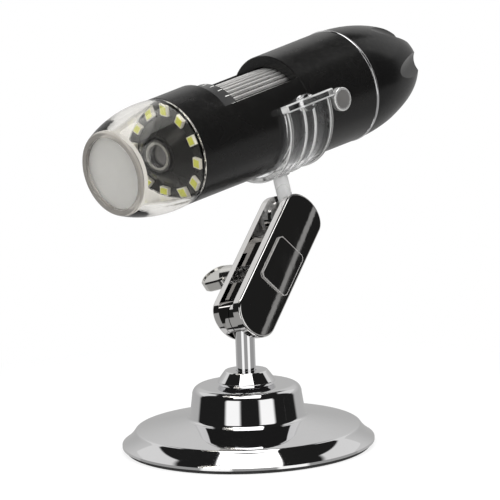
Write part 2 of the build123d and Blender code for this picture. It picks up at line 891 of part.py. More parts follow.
def make_snap_board():
    """Small board on the chassis flat, below the button."""
    return block(
        (snap_board_start, snap_board_start + snap_board_length), (-switch_base, -chassis_radius),
        (-snap_board_width / 2, snap_board_width / 2),
    )


def make_snap_switch():
    """Tact switch with its plunger."""
    half = switch_size / 2
    body = block(
        (button_station - half, button_station + half),
        (-switch_base - switch_height, -switch_base), (-half, half),
    )
    return body + side_disc(button_station, plunger_radius, switch_base + switch_height / 2, plunger_top)


# Trim ring, tail, gland and boards

trim_end = rear_end_station + trim_width


def make_trim_ring():
    """Thin chrome ring between the rear barrel and the tail."""
    outer = rear_end_radius + trim_proud
    return barrel([
        (rear_end_station, rear_end_radius - trim_wall), (rear_end_station, outer - trim_proud),
        (rear_end_station + trim_proud, outer), (trim_end - trim_proud, outer),
        (trim_end, outer - trim_proud), (trim_end, rear_end_radius - trim_wall),
    ])


def tail_solid(inset, end):
    """Elliptical tail drawn in by inset and cut square at the end station."""
    long_axis = tail_length - inset
    short_axis = rear_end_radius - inset
    shape = Pos(tail_station, 0) * Ellipse(long_axis, short_axis)
    keep = Pos((trim_end + end) / 2, short_axis / 2) * Rectangle(end - trim_end, short_axis)
    return revolve(Plane.XZ * (shape & keep), Axis.X)


def make_tail_cap():
    """Bullet-shaped tail with six scallops and a hole for the cable gland."""
    outer = tail_solid(0, tail_end_station)
    end_rim = outer.edges().filter_by_position(Axis.X, tail_end_station - fit_gap, tail_end_station + fit_gap)
    outer = fillet(end_rim, tail_end_round)
    cap = outer - tail_solid(tail_wall, scallop_start_station)
    cap -= tail_solid(tail_deep_wall, tail_end_station - tail_end_wall)
    ratio = (scallop_start_station - tail_station) / tail_length
    start_line = rear_end_radius * sqrt(1 - ratio * ratio)
    run = scallop_end_station - scallop_start_station
    fall = start_line - scallop_end_line
    length = sqrt(run * run + fall * fall)
    direction = Vector(run / length, 0, -fall / length)
    middle = Vector(
        (scallop_start_station + scallop_end_station) / 2, 0,
        (start_line + scallop_end_line) / 2 + scallop_radius,
    )
    plane = Plane(origin=middle, z_dir=direction)
    cutter = plane * Cylinder(scallop_radius, length * 2)
    step = 360 / scallop_count
    for i in range(scallop_count):
        cap -= Location((0, 0, 0), (scallop_first_angle + step * i, 0, 0)) * cutter
    hole = rod(tail_end_station - tail_end_wall * 2, tail_end_station + overrun, gland_radius + fit_gap)
    return cap - hole


def make_cable_gland():
    """Rubber gland in the tail's end, where the cable would leave."""
    inside = tail_end_station - tail_end_wall
    return barrel([
        (inside - gland_flange_thickness, gland_bore),
        (inside - gland_flange_thickness, gland_flange_radius),
        (inside, gland_flange_radius), (inside, gland_radius), (tail_end_station + gland_proud, gland_radius),
        (tail_end_station + gland_proud, gland_bore),
    ])


def make_sensor_board():
    """Round board on the back of the chassis."""
    return rod(chassis_end_station, chassis_end_station + board_thickness, sensor_board_radius)


def make_image_sensor():
    """Image sensor on the optical axis."""
    half = sensor_size / 2
    return block((chassis_end_station - sensor_thickness, chassis_end_station), (-half, half), (-half, half))


def make_main_board():
    """Main board along the tail, with its controller chip."""
    start = chassis_end_station + board_thickness
    half = main_board_width / 2
    board = block(
        (start, start + main_board_length), (-board_thickness / 2, board_thickness / 2), (-half, half)
    )
    chip_start = start + main_board_length * chip_share
    chip = block(
        (chip_start, chip_start + chip_size), (-board_thickness / 2 - chip_thickness, -board_thickness / 2),
        (-chip_size / 2, chip_size / 2),
    )
    return board + chip


os.makedirs("parts", exist_ok=True)
save("base_shell", make_base_shell())
save("base_weight", make_base_weight())
save("base_pad", make_base_pad())
save("collar_nut", make_collar_nut())
save("friction_washer", make_friction_washer())
save("post", make_post())
save("clamp_plate_front", make_clamp_plate_front(), arm_frame)
save("clamp_plate_back", make_clamp_plate_back(), arm_frame)
save("clamp_stud", make_clamp_stud(), arm_frame)
save("nut_washer", make_nut_washer(), arm_frame)
save("thumb_nut", make_thumb_nut(), arm_frame)
save("ball_stem", make_ball_stem(), cradle_frame)
save("cradle", make_cradle(), cradle_frame)
save("nose_shroud", make_nose_shroud(), head_frame)
save("front_window", make_front_window(), head_frame)
save("led_board", make_led_board(), head_frame)
save("leds", make_leds(), head_frame)
save("lens_hood", make_lens_hood(), head_frame)
save("front_barrel", make_front_barrel(), head_frame)
save("scale_ring", make_scale_ring(), head_frame)
save("chassis_tube", make_chassis(), head_frame)
save("focus_wheel", make_focus_wheel(), head_frame)
save("lens_carrier", make_lens_carrier(), head_frame)
save("drive_pin", make_drive_pin(), head_frame)
save("lens_ring", make_lens_ring(), head_frame)
save("front_lens", make_front_lens(), head_frame)
save("rear_lens", make_rear_lens(), head_frame)
save("rear_shell", make_rear_shell(), head_frame)
save("snap_button", make_snap_button(), button_frame)
save("snap_board", make_snap_board(), button_frame)
save("snap_switch", make_snap_switch(), button_frame)
save("trim_ring", make_trim_ring(), head_frame)
save("tail_cap", make_tail_cap(), head_frame)
save("cable_gland", make_cable_gland(), head_frame)
save("sensor_board", make_sensor_board(), head_frame)
save("image_sensor", make_image_sensor(), head_frame)
save("main_board", make_main_board(), head_frame)
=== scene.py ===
"""Looks of a USB digital microscope on its chromed desk stand.

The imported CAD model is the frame. Sizes here are in millimetres and meshes are in metres.
"""

import json
import logging
from dataclasses import dataclass
from enum import Enum
from math import atan2, cos, pi, radians, sin, sqrt, tan
from typing import Any, Callable, Sequence

import bmesh
import bpy
from mathutils import Matrix, Vector

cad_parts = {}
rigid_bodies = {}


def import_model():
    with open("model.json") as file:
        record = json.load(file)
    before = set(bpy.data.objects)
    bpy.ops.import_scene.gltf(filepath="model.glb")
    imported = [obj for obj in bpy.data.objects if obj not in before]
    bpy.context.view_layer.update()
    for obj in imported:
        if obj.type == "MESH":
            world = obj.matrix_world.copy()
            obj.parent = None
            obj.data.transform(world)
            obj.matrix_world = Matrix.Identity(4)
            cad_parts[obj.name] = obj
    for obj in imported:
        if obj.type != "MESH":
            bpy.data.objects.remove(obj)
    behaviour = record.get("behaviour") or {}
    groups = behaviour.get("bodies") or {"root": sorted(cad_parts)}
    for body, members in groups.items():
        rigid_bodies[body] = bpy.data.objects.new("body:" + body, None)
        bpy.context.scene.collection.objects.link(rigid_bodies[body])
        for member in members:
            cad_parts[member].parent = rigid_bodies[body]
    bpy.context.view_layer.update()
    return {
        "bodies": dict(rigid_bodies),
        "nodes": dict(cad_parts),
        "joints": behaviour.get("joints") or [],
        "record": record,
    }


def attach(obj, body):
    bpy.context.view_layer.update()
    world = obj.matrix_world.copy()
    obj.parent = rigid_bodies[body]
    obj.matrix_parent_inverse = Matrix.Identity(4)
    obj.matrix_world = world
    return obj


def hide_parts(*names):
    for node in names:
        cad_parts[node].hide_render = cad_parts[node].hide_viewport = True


LOG = logging.getLogger("microscope")
MM = 0.001
SHARP_ANGLE = 32.0
# Where the middle of a quarter round lies, as a share of its radius, from its corner and from its centre
NEAR_CORNER = 0.293
FROM_CENTRE = 0.707
# Radii that small edges are rounded by
CRISP = 0.1
EASED = 0.15
SOFT = 0.2
BROAD = 0.25

Color = tuple[float, float, float]
Point = tuple[float, float]
Corner = tuple[float, float, float]
Socket = bpy.types.NodeSocket
Thing = bpy.types.Object


class Body(Enum):
    """The bodies that the new pieces ride on."""

    BASE = "base"
    POST = "post"
    ARM = "arm"
    STEM = "stem"
    CLIP = "clip"
    MICROSCOPE = "microscope"
    WHEEL = "wheel"
    BUTTON = "button"


class Unit(Enum):
    """The shapes that a ring of repeated pieces can be made of."""

    BOX = "box"
    BAR = "bar"


# Node trees


class Sheet:
    """Adds, sets and links the nodes of one tree."""

    def __init__(self, tree: bpy.types.NodeTree) -> None:
        """Takes the tree that the nodes go into."""
        self.tree = tree

    def add(self, kind: str, inputs: dict[Any, Any] | None = None, **settings: Any) -> bpy.types.Node:
        """Adds a node.

        Args:
            kind: the node's type name.
            inputs: values or output sockets by input name or index.
            settings: the node's own properties.

        Returns:
            The new node.
        """
        node = self.tree.nodes.new(kind)
        for key, value in settings.items():
            setattr(node, key, value)
        for key, value in (inputs or {}).items():
            self.feed(node, key, value)
        return node

    def feed(self, node: bpy.types.Node, key: Any, value: Any) -> None:
        """Sets one input to a value, or links an output socket to it.

        Args:
            node: the node that is fed.
            key: the input's name or index.
            value: a plain value or an output socket.
        """
        if isinstance(value, Socket):
            self.tree.links.new(value, node.inputs[key])
        else:
            node.inputs[key].default_value = value

    def math(self, operation: str, first: Any, second: Any = 0.0, clamp: bool = False) -> Socket:
        """Result of a math node, which may be held between 0 and 1."""
        inputs = {0: first, 1: second}
        return self.add("ShaderNodeMath", inputs, operation=operation, use_clamp=clamp).outputs[0]

    def times(self, first: Any, second: Any) -> Socket:
        """Product of two values."""
        return self.math("MULTIPLY", first, second)

    def ramp(self, value: Any, low: float, high: float, start: Any = 0.0, end: Any = 1.0) -> Socket:
        """Smooth step from start, where the value is low, to end, where it is high."""
        inputs = {"Value": value, "From Min": low, "From Max": high, "To Min": start, "To Max": end}
        return self.add("ShaderNodeMapRange", inputs, interpolation_type="SMOOTHSTEP").outputs["Result"]

    def noise(self, vector: Socket, scale: Socket, detail: float, **more: float) -> Socket:
        """Factor of a noise texture, with more inputs by name."""
        inputs = {"Vector": vector, "Scale": scale, "Detail": detail, **more}
        return self.add("ShaderNodeTexNoise", inputs).outputs["Fac"]

    def axes(self, vector: Socket) -> Any:
        """The X, Y and Z outputs of a vector."""
        return self.add("ShaderNodeSeparateXYZ", {0: vector}).outputs

    def vector(self, x: Any, y: Any, z: Any) -> Socket:
        """Vector made of three values."""
        return self.add("ShaderNodeCombineXYZ", {0: x, 1: y, 2: z}).outputs[0]


class GroupMaker:
    """Builds the shared node groups once."""

    def __init__(self) -> None:
        """Builds every group."""
        self.grain, self.smudge, self.dust = self._grain(), self._smudge(), self._dust()
        self.turning, self.traces = self._turning(), self._traces()

    def _start(self, name: str, numbers: dict[str, float], outputs: Sequence[str]) -> tuple[Sheet, Any, Any]:
        """Starts a group that reads a vector and some numbers.

        Args:
            name: the group's name.
            numbers: default value by the name of each number.
            outputs: names of the numbers that it puts out.

        Returns:
            The sheet, what the group is given, and the node that it puts out through.
        """
        tree = bpy.data.node_groups.new(name, "ShaderNodeTree")
        tree.interface.new_socket("Vector", in_out="INPUT", socket_type="NodeSocketVector")
        for label, value in numbers.items():
            socket = tree.interface.new_socket(label, in_out="INPUT", socket_type="NodeSocketFloat")
            socket.default_value = value
        for label in outputs:
            tree.interface.new_socket(label, in_out="OUTPUT", socket_type="NodeSocketFloat")
        return Sheet(tree), tree.nodes.new("NodeGroupInput").outputs, tree.nodes.new("NodeGroupOutput")

    @staticmethod
    def _height(sheet: Sheet, noise: Socket, depth: Socket) -> Socket:
        """Height of a noise that is centred on zero."""
        return sheet.times(sheet.math("SUBTRACT", noise, 0.5), depth)

    def _grain(self) -> bpy.types.NodeTree:
        """Fine moulded or cast grain.

        Returns:
            The group, which puts out a height and a mask.
        """
        sheet, given, end = self._start("moulded_grain", {"Scale": 900.0, "Depth": 1.0}, ("Height", "Mask"))
        noise = sheet.noise(given["Vector"], given["Scale"], 5.0, Roughness=0.62)
        sheet.feed(end, "Height", self._height(sheet, noise, given["Depth"]))
        sheet.feed(end, "Mask", noise)
        return sheet.tree

    def _smudge(self) -> bpy.types.NodeTree:
        """Uneven gloss, as handling and wiping leave it.

        Returns:
            The group, which puts out a roughness.
        """
        numbers = {"Scale": 60.0, "Low": 0.1, "High": 0.2}
        sheet, given, end = self._start("handling_smudges", numbers, ("Roughness",))
        noise = sheet.noise(given["Vector"], given["Scale"], 4.0, Distortion=1.2)
        sheet.feed(end, "Roughness", sheet.ramp(noise, 0.38, 0.68, given["Low"], given["High"]))
        return sheet.tree

    def _dust(self) -> bpy.types.NodeTree:
        """A thin film of dust on what faces up.

        Returns:
            The group, which puts out a mask.
        """
        sheet, given, end = self._start("settled_dust", {"Scale": 700.0, "Amount": 0.02}, ("Mask",))
        normal = sheet.add("ShaderNodeNewGeometry").outputs["Normal"]
        up = sheet.ramp(sheet.axes(normal)["Z"], 0.2, 0.95)
        specks = sheet.ramp(sheet.noise(given["Vector"], given["Scale"], 6.0), 0.45, 0.75)
        mask = sheet.math("MULTIPLY", sheet.times(up, specks), given["Amount"], clamp=True)
        sheet.feed(end, "Mask", mask)
        return sheet.tree

    def _turning(self) -> bpy.types.NodeTree:
        """Rings round the Z axis that a lathe or a polishing wheel leaves.

        Returns:
            The group, which puts out a height.
        """
        sheet, given, end = self._start("turning_rings", {"Scale": 900.0, "Depth": 1.0}, ("Height",))
        parts = sheet.axes(given["Vector"])
        x_square, y_square = (sheet.math("POWER", parts[axis], 2.0) for axis in "XY")
        across = sheet.math("SQRT", sheet.math("ADD", x_square, y_square))
        place = sheet.vector(across, parts["Z"], 0.0)
        noise = sheet.noise(place, given["Scale"], 2.0)
        sheet.feed(end, "Height", self._height(sheet, noise, given["Depth"]))
        return sheet.tree

    def _traces(self) -> bpy.types.NodeTree:
        """Copper tracks under a circuit board's mask.

        Returns:
            The group, which puts out a height and a mask.
        """
        sheet, given, end = self._start("board_tracks", {"Scale": 900.0, "Depth": 1.0}, ("Height", "Mask"))
        inputs = {"Vector": given["Vector"], "Scale": given["Scale"]}
        cells = sheet.add("ShaderNodeTexVoronoi", inputs, distance="MANHATTAN", feature="F1")
        track = sheet.ramp(cells.outputs["Distance"], 0.42, 0.5)
        sheet.feed(end, "Mask", track)
        sheet.feed(end, "Height", sheet.times(track, given["Depth"]))
        return sheet.tree


@dataclass(frozen=True)
class Finish:
    """One surface finish, from its colours to its grain.

    rough holds the least and the greatest roughness. grain and turn hold a scale per metre and a depth
    in millimetres. tracks is the scale of a board's tracks.
    """

    name: str
    color: Color
    tint: Color | None = None
    rough: Point = (0.3, 0.4)
    metallic: float = 0.0
    grain: Point = (2500.0, 0.0)
    turn: Point = (5000.0, 0.0)
    tracks: float = 0.0
    track_color: Color = (0.05, 0.22, 0.10)
    track_depth: float = 0.04
    transmission: float = 0.0
    ior: float = 1.5
    specular: float = 0.5
    coat: float = 0.0
    coat_roughness: float = 0.05
    dust: float = 0.0
    dust_color: Color = (0.62, 0.60, 0.57)
    tint_scale: float = 40.0
    tint_lift: float = 1.12
    smudge_scale: float = 70.0
    frame: Matrix | None = None

    def build(self, groups: GroupMaker) -> bpy.types.Material:
        """Builds the material.

        Args:
            groups: the shared node groups.

        Returns:
            The finished material.
        """
        material = bpy.data.materials.new(self.name)
        material.use_nodes = True
        sheet = Sheet(material.node_tree)
        sheet.tree.nodes.clear()
        place = self._place(sheet)
        smudges = {"Vector": place, "Scale": self.smudge_scale, "Low": self.rough[0], "High": self.rough[1]}
        shader = sheet.add("ShaderNodeBsdfPrincipled", {
            "Base Color": self._colour(sheet, groups, place),
            "Roughness": self._placed(sheet, groups.smudge, smudges)["Roughness"],
            "Metallic": self.metallic, "Transmission Weight": self.transmission, "IOR": self.ior,
            "Specular IOR Level": self.specular,
            "Coat Weight": self.coat, "Coat Roughness": self.coat_roughness,
        })
        sheet.add("ShaderNodeOutputMaterial", {"Surface": shader.outputs[0]}, is_active_output=True)
        self._bump(sheet, groups, place, shader)
        material.diffuse_color = (*self.color, 1.0)
        return material

    def _place(self, sheet: Sheet) -> Socket:
        """Object coordinates, turned to the piece's own axes where it has a frame.

        Args:
            sheet: the material's sheet.

        Returns:
            The coordinates.
        """
        coords = sheet.add("ShaderNodeTexCoord").outputs["Object"]
        if self.frame is None:
            return coords
        inverse = self.frame.inverted()
        inputs = {"Vector": coords, "Location": inverse.translation, "Rotation": inverse.to_euler()}
        return sheet.add("ShaderNodeMapping", inputs).outputs[0]

    @staticmethod
    def _placed(sheet: Sheet, tree: bpy.types.NodeTree, inputs: dict[str, Any]) -> Any:
        """Outputs of one shared group, placed with its values."""
        return sheet.add("ShaderNodeGroup", inputs, node_tree=tree).outputs

    @staticmethod
    def _mix(sheet: Sheet, factor: Any, first: Any, second: Any) -> Socket:
        """Mix of two colours."""
        return sheet.add("ShaderNodeMix", {0: factor, 6: first, 7: second}, data_type="RGBA").outputs[2]

    def _colour(self, sheet: Sheet, groups: GroupMaker, place: Socket) -> Socket:
        """Base colour with its slow tint, its tracks and its dust.

        Args:
            sheet: the material's sheet.
            groups: the shared node groups.
            place: the coordinates.

        Returns:
            The colour.
        """
        second = self.tint or tuple(min(1.0, c * self.tint_lift) for c in self.color)
        cloud = self._placed(sheet, groups.grain, {"Vector": place, "Scale": self.tint_scale, "Depth": 1.0})
        colour = self._mix(sheet, cloud["Mask"], (*self.color, 1.0), (*second, 1.0))
        if self.tracks:
            tracks = self._placed(sheet, groups.traces, {"Vector": place, "Scale": self.tracks})
            colour = self._mix(sheet, tracks["Mask"], colour, (*self.track_color, 1.0))
        if self.dust:
            film = self._placed(sheet, groups.dust, {"Vector": place, "Amount": self.dust})
            colour = self._mix(sheet, film["Mask"], colour, (*self.dust_color, 1.0))
        return colour

    def _bump(self, sheet: Sheet, groups: GroupMaker, place: Socket, shader: bpy.types.Node) -> None:
        """Adds the heights of grain, rings and tracks, and feeds the normal.

        Args:
            sheet: the material's sheet.
            groups: the shared node groups.
            place: the coordinates.
            shader: the node that is fed.
        """
        total = None
        layers = [(groups.grain, *self.grain), (groups.turning, *self.turn)]
        layers += [(groups.traces, self.tracks, self.track_depth)] if self.tracks else []
        for tree, scale, depth in layers:
            if depth:
                inputs = {"Vector": place, "Scale": scale, "Depth": depth}
                height = self._placed(sheet, tree, inputs)["Height"]
                total = height if total is None else sheet.math("ADD", total, height)
        if total is not None:
            bump = sheet.add("ShaderNodeBump", {"Height": total, "Distance": MM, "Strength": 1.0})
            sheet.feed(shader, "Normal", bump.outputs["Normal"])


# Meshes


def rounded(corners: Sequence[Corner], steps: int = 5) -> list[Point]:
    """Polygon whose corners are replaced by arcs.

    Args:
        corners: (x, y, radius) of each corner in order.
        steps: how many chords an arc has.

    Returns:
        The polygon's points.
    """
    longest_cut = 0.48
    points: list[Point] = []
    for i, (x, y, radius) in enumerate(corners):
        if radius <= 0:
            points.append((x, y))
            continue
        here = Vector((x, y))
        before = Vector(corners[i - 1][:2]) - here
        after = Vector(corners[(i + 1) % len(corners)][:2]) - here
        half = before.angle(after) / 2
        cut = min(radius / tan(half), longest_cut * min(before.length, after.length))
        centre = here + (before.normalized() + after.normalized()).normalized() * (cut / cos(half))
        start = here + before.normalized() * cut - centre
        turn = start.angle_signed(here + after.normalized() * cut - centre)
        for k in range(steps + 1):
            angle = -turn * k / steps
            across = centre.x + start.x * cos(angle) - start.y * sin(angle)
            points.append((across, centre.y + start.x * sin(angle) + start.y * cos(angle)))
    return points


def arc_points(start: Point, middle: Point, end: Point, steps: int = 14) -> list[Point]:
    """Points on the circle through three points, with both ends.

    Args:
        start: first point.
        middle: a point between.
        end: last point.
        steps: how many chords.

    Returns:
        The points in order.
    """
    (ax, ay), (bx, by), (cx, cy) = start, middle, end
    a, b, c = ax * ax + ay * ay, bx * bx + by * by, cx * cx + cy * cy
    double = 2 * (ax * (by - cy) + bx * (cy - ay) + cx * (ay - by))
    x = (a * (by - cy) + b * (cy - ay) + c * (ay - by)) / double
    y = (a * (cx - bx) + b * (ax - cx) + c * (bx - ax)) / double
    radius = sqrt((ax - x) ** 2 + (ay - y) ** 2)
    first = atan2(ay - y, ax - x)
    sweep = (atan2(cy - y, cx - x) - first) % (2 * pi)
    if (atan2(by - y, bx - x) - first) % (2 * pi) > sweep:
        sweep -= 2 * pi
    angles = [first + sweep * k / steps for k in range(steps + 1)]
    return [(x + radius * cos(angle), y + radius * sin(angle)) for angle in angles]


def from_bmesh(name: str, mesh: bmesh.types.BMesh, shaded: bool = True) -> Thing:
    """Turns a bmesh in metres into an object of the scene.

    Args:
        name: the piece's name.
        mesh: the bmesh, which is freed.
        shaded: whether it is shaded smooth, but sharp at real edges and flat on flat faces.

    Returns:
        The new object.
    """
    bmesh.ops.recalc_face_normals(mesh, faces=mesh.faces)
    data = bpy.data.meshes.new(name)
    mesh.to_mesh(data)
    mesh.free()
    piece = bpy.data.objects.new(name, data)
    bpy.context.collection.objects.link(piece)
    if shaded:
        data.shade_smooth()
        data.set_sharp_from_angle(angle=radians(SHARP_ANGLE))
        weighted = piece.modifiers.new("even_shading", "WEIGHTED_NORMAL")
        weighted.keep_sharp = True
        weighted.weight = 80
    return piece


def lathe(
    name: str, polygon: Sequence[Point], frame: Matrix, segments: int,
    reach: float = 360.0, first: float = 0.0,
) -> Thing:
    """Turns a closed polygon about the frame's X axis.

    Args:
        name: the piece's name.
        polygon: (station, radius) points in millimetres.
        frame: the piece's frame in metres.
        segments: how many steps the turn has.
        reach: how far it turns, in degrees.
        first: the angle that it starts from, measured from +Z, in degrees.

    Returns:
        The new object.
    """
    mesh = bmesh.new()
    closed = reach >= 360.0
    count = segments if closed else segments + 1
    rings = []
    for station, radius in polygon:
        ring = []
        for k in range(1 if radius < 1e-6 else count):
            angle = radians(first + reach * k / segments)
            spot = Vector((station, -radius * sin(angle), radius * cos(angle))) * MM
            ring.append(mesh.verts.new(frame @ spot))
        rings.append(ring)
    for ring, after in zip(rings, rings[1:] + rings[:1]):
        for k in range(segments):
            far = (k + 1) % count
            places = ((ring, k), (ring, far), (after, far), (after, k))
            corners = list(dict.fromkeys(points[step % len(points)] for points, step in places))
            if len(corners) > 2:
                mesh.faces.new(corners)
    if not closed:
        mesh.faces.new([ring[0] for ring in rings])
        mesh.faces.new([ring[-1] for ring in reversed(rings)])
    return from_bmesh(name, mesh)


def prism(
    name: str, polygon: Sequence[Point], low: float, high: float, frame: Matrix, soft: float, steps: int = 3
) -> Thing:
    """Extrudes a polygon of the frame's YZ plane along its X axis.

    Args:
        name: the piece's name.
        polygon: (y, z) points in millimetres.
        low: where it starts along X.
        high: where it ends along X.
        frame: the piece's frame in metres.
        soft: the radius that its rims are rounded by.
        steps: how many chords the rounding has.

    Returns:
        The new object.
    """
    mesh = bmesh.new()
    lower, upper = (
        [mesh.verts.new(frame @ (Vector((station, y, z)) * MM)) for y, z in polygon]
        for station in (low, high)
    )
    mesh.faces.new(lower)
    mesh.faces.new(list(reversed(upper)))
    rims = []
    for k in range(len(polygon)):
        after = (k + 1) % len(polygon)
        mesh.faces.new((lower[k], lower[after], upper[after], upper[k]))
        rims += [mesh.edges.get((lower[k], lower[after])), mesh.edges.get((upper[k], upper[after]))]
    bmesh.ops.bevel(mesh, geom=rims, offset=soft * MM, segments=steps, profile=0.5, affect="EDGES")
    return from_bmesh(name, mesh)


class PieceTree:
    """Geometry Nodes tree with named inputs, whose result becomes a plain mesh."""

    def __init__(self, name: str, inputs: dict[str, str]) -> None:
        """Starts the tree.

        Args:
            name: the tree's name.
            inputs: socket type by the name of each input but the material.
        """
        self.tree = bpy.data.node_groups.new(name, "GeometryNodeTree")
        self.sockets: dict[str, str] = {}
        for label, kind in {**inputs, "Material": "NodeSocketMaterial"}.items():
            socket = self.tree.interface.new_socket(label, in_out="INPUT", socket_type=kind)
            self.sockets[label] = socket.identifier
        self.tree.interface.new_socket("Geometry", in_out="OUTPUT", socket_type="NodeSocketGeometry")
        self.sheet = Sheet(self.tree)
        self.given = self.tree.nodes.new("NodeGroupInput").outputs

    def _close(self, geometry: Socket) -> None:
        """Makes the geometry real, gives it the material and puts it out.

        Args:
            geometry: what the tree has made.
        """
        real = self.sheet.add("GeometryNodeRealizeInstances", {"Geometry": geometry}).outputs[0]
        inputs = {"Geometry": real, "Material": self.given["Material"]}
        dressed = self.sheet.add("GeometryNodeSetMaterial", inputs).outputs[0]
        self.sheet.feed(self.tree.nodes.new("NodeGroupOutput"), 0, dressed)

    def make(self, name: str, values: dict[str, Any], frame: Matrix) -> Thing:
        """Evaluates the tree on a new object and keeps the result as a plain mesh.

        Args:
            name: the piece's name.
            values: value by input name, in metres and radians.
            frame: where the tree's Z axis goes.

        Returns:
            The new object, with no modifier left.
        """
        carrier = bpy.data.objects.new(name, bpy.data.meshes.new(f"{name}_carrier"))
        bpy.context.collection.objects.link(carrier)
        modifier = carrier.modifiers.new("tree", "NODES")
        modifier.node_group = self.tree
        for label, value in values.items():
            modifier[self.sockets[label]] = value
        carrier.update_tag()
        graph = bpy.context.evaluated_depsgraph_get()
        graph.update()
        result = bpy.data.meshes.new_from_object(carrier.evaluated_get(graph))
        carrier.modifiers.remove(modifier)
        result.transform(frame)
        result.name = name
        carrier.data = result
        result.shade_smooth()
        result.set_sharp_from_angle(angle=radians(SHARP_ANGLE))
        return carrier


class RingTree(PieceTree):
    """Repeats one unit evenly round the Z axis."""

    def __init__(self, unit: Unit) -> None:
        """Builds the tree.

        Args:
            unit: the shape that is repeated.
        """
        number = "NodeSocketFloat"
        inputs = {"Count": "NodeSocketInt", "Ring Radius": number, "First Angle": number}
        super().__init__(f"ring_of_{unit.value}", {**inputs, "Piece Size": "NodeSocketVector"})
        sheet, given = self.sheet, self.given
        if unit is Unit.BOX:
            shape = sheet.add("GeometryNodeMeshCube", {"Size": (1.0, 1.0, 1.0)})
        else:
            shape = sheet.add("GeometryNodeMeshCylinder", {"Vertices": 20, "Radius": 0.5, "Depth": 1.0})
        sizes = {"Geometry": shape.outputs["Mesh"], "Scale": given["Piece Size"]}
        sized = sheet.add("GeometryNodeTransform", sizes).outputs[0]
        share = sheet.math("DIVIDE", sheet.add("GeometryNodeInputIndex").outputs[0], given["Count"])
        angle = sheet.math("ADD", sheet.times(share, 2 * pi), given["First Angle"])
        across, along = (
            sheet.times(sheet.math(kind, angle), given["Ring Radius"]) for kind in ("COSINE", "SINE")
        )
        spots = {"Count": given["Count"], "Position": sheet.vector(across, along, 0.0)}
        points = sheet.add("GeometryNodePoints", spots).outputs[0]
        turned = sheet.add("FunctionNodeEulerToRotation", {0: sheet.vector(0.0, 0.0, angle)}).outputs[0]
        units = {"Points": points, "Instance": sized, "Rotation": turned}
        self._close(sheet.add("GeometryNodeInstanceOnPoints", units).outputs[0])

    def repeat(
        self, name: str, count: int, radius: float, size: Sequence[float], material: bpy.types.Material,
        frame: Matrix, first: float = 0.0,
    ) -> Thing:
        """Makes one ring of units.

        Args:
            name: the piece's name.
            count: how many units.
            radius: the ring's radius in millimetres.
            size: the size of a unit along the radius, across it and along the axis, in millimetres.
            material: its material.
            frame: where the tree's Z axis goes.
            first: the angle of the first unit in degrees.

        Returns:
            The new object.
        """
        values = {
            "Count": count, "Ring Radius": radius * MM, "First Angle": radians(first),
            "Piece Size": [width * MM for width in size], "Material": material,
        }
        return self.make(name, values, frame)


class ThreadTree(PieceTree):
    """Winds a screw thread round the Z axis."""

    def __init__(self) -> None:
        """Builds the tree."""
        labels = ("Turns", "Thread Radius", "Length", "Ridge Radius")
        super().__init__("screw_thread", dict.fromkeys(labels, "NodeSocketFloat"))
        sheet, given = self.sheet, self.given
        spiral = sheet.add("GeometryNodeCurveSpiral", {
            "Resolution": 24, "Rotations": given["Turns"], "Height": given["Length"],
            "Start Radius": given["Thread Radius"], "End Radius": given["Thread Radius"],
        })
        circle = {"Resolution": 6, "Radius": given["Ridge Radius"]}
        ridge = sheet.add("GeometryNodeCurvePrimitiveCircle", circle)
        curves = {"Curve": spiral.outputs[0], "Profile Curve": ridge.outputs[0], "Fill Caps": True}
        self._close(sheet.add("GeometryNodeCurveToMesh", curves).outputs[0])


# Frames


@dataclass(frozen=True)
class Frames:
    """Where the arm, the stem, the clip and the microscope stand, as the frame's source has it."""

    ball_height: float = 36.95
    arm_length: float = 35.25
    arm_lean: float = 44.95
    arm_tilt: float = 12.3
    head_tilt: float = 10.41
    stem_lean: float = 6.73
    stem_station: float = 59.6
    stem_length: float = 30.75
    button_lean: float = 4.0

    @staticmethod
    def shift(x: float, y: float, z: float) -> Matrix:
        """Translation by millimetres."""
        return Matrix.Translation(Vector((x, y, z)) * MM)

    @staticmethod
    def turn(angle: float, axis: str) -> Matrix:
        """Rotation by degrees about a named axis."""
        return Matrix.Rotation(radians(angle), 4, axis)

    @property
    def upright(self) -> Matrix:
        """Frame whose X axis points up."""
        return self.turn(-90.0, "Y")

    @property
    def arm(self) -> Matrix:
        """Frame of the clamp arm, with its origin at the lower ball."""
        ball = self.shift(0.0, 0.0, self.ball_height)
        return ball @ self.turn(-self.arm_tilt, "X") @ self.turn(self.arm_lean, "Y")

    @property
    def stem(self) -> Matrix:
        """Frame of the stem, with its origin at the upper ball."""
        ball = (self.arm @ self.shift(0.0, 0.0, self.arm_length)).translation
        return Matrix.Translation(ball) @ self.turn(-self.head_tilt, "Y") @ self.turn(-self.stem_lean, "X")

    @property
    def cradle(self) -> Matrix:
        """Frame of the clip, on the optical axis."""
        return self.stem @ self.shift(-self.stem_station, 0.0, self.stem_length)

    @property
    def head(self) -> Matrix:
        """Frame of the microscope, with X along its optical axis."""
        return self.cradle @ self.turn(self.stem_lean, "X")

    @property
    def button(self) -> Matrix:
        """Frame of the snapshot button's side of the microscope."""
        return self.head @ self.turn(-self.button_lean, "X")

    def ring(self, station: float) -> Matrix:
        """Frame at a station of the microscope, with Z along its optical axis."""
        return self.head @ self.shift(station, 0.0, 0.0) @ self.turn(90.0, "Y")


# Finishes

CHROME = (0.80, 0.80, 0.81)
BLACK = (0.004, 0.004, 0.004)
HOOD_BLACK = (0.006, 0.006, 0.006)


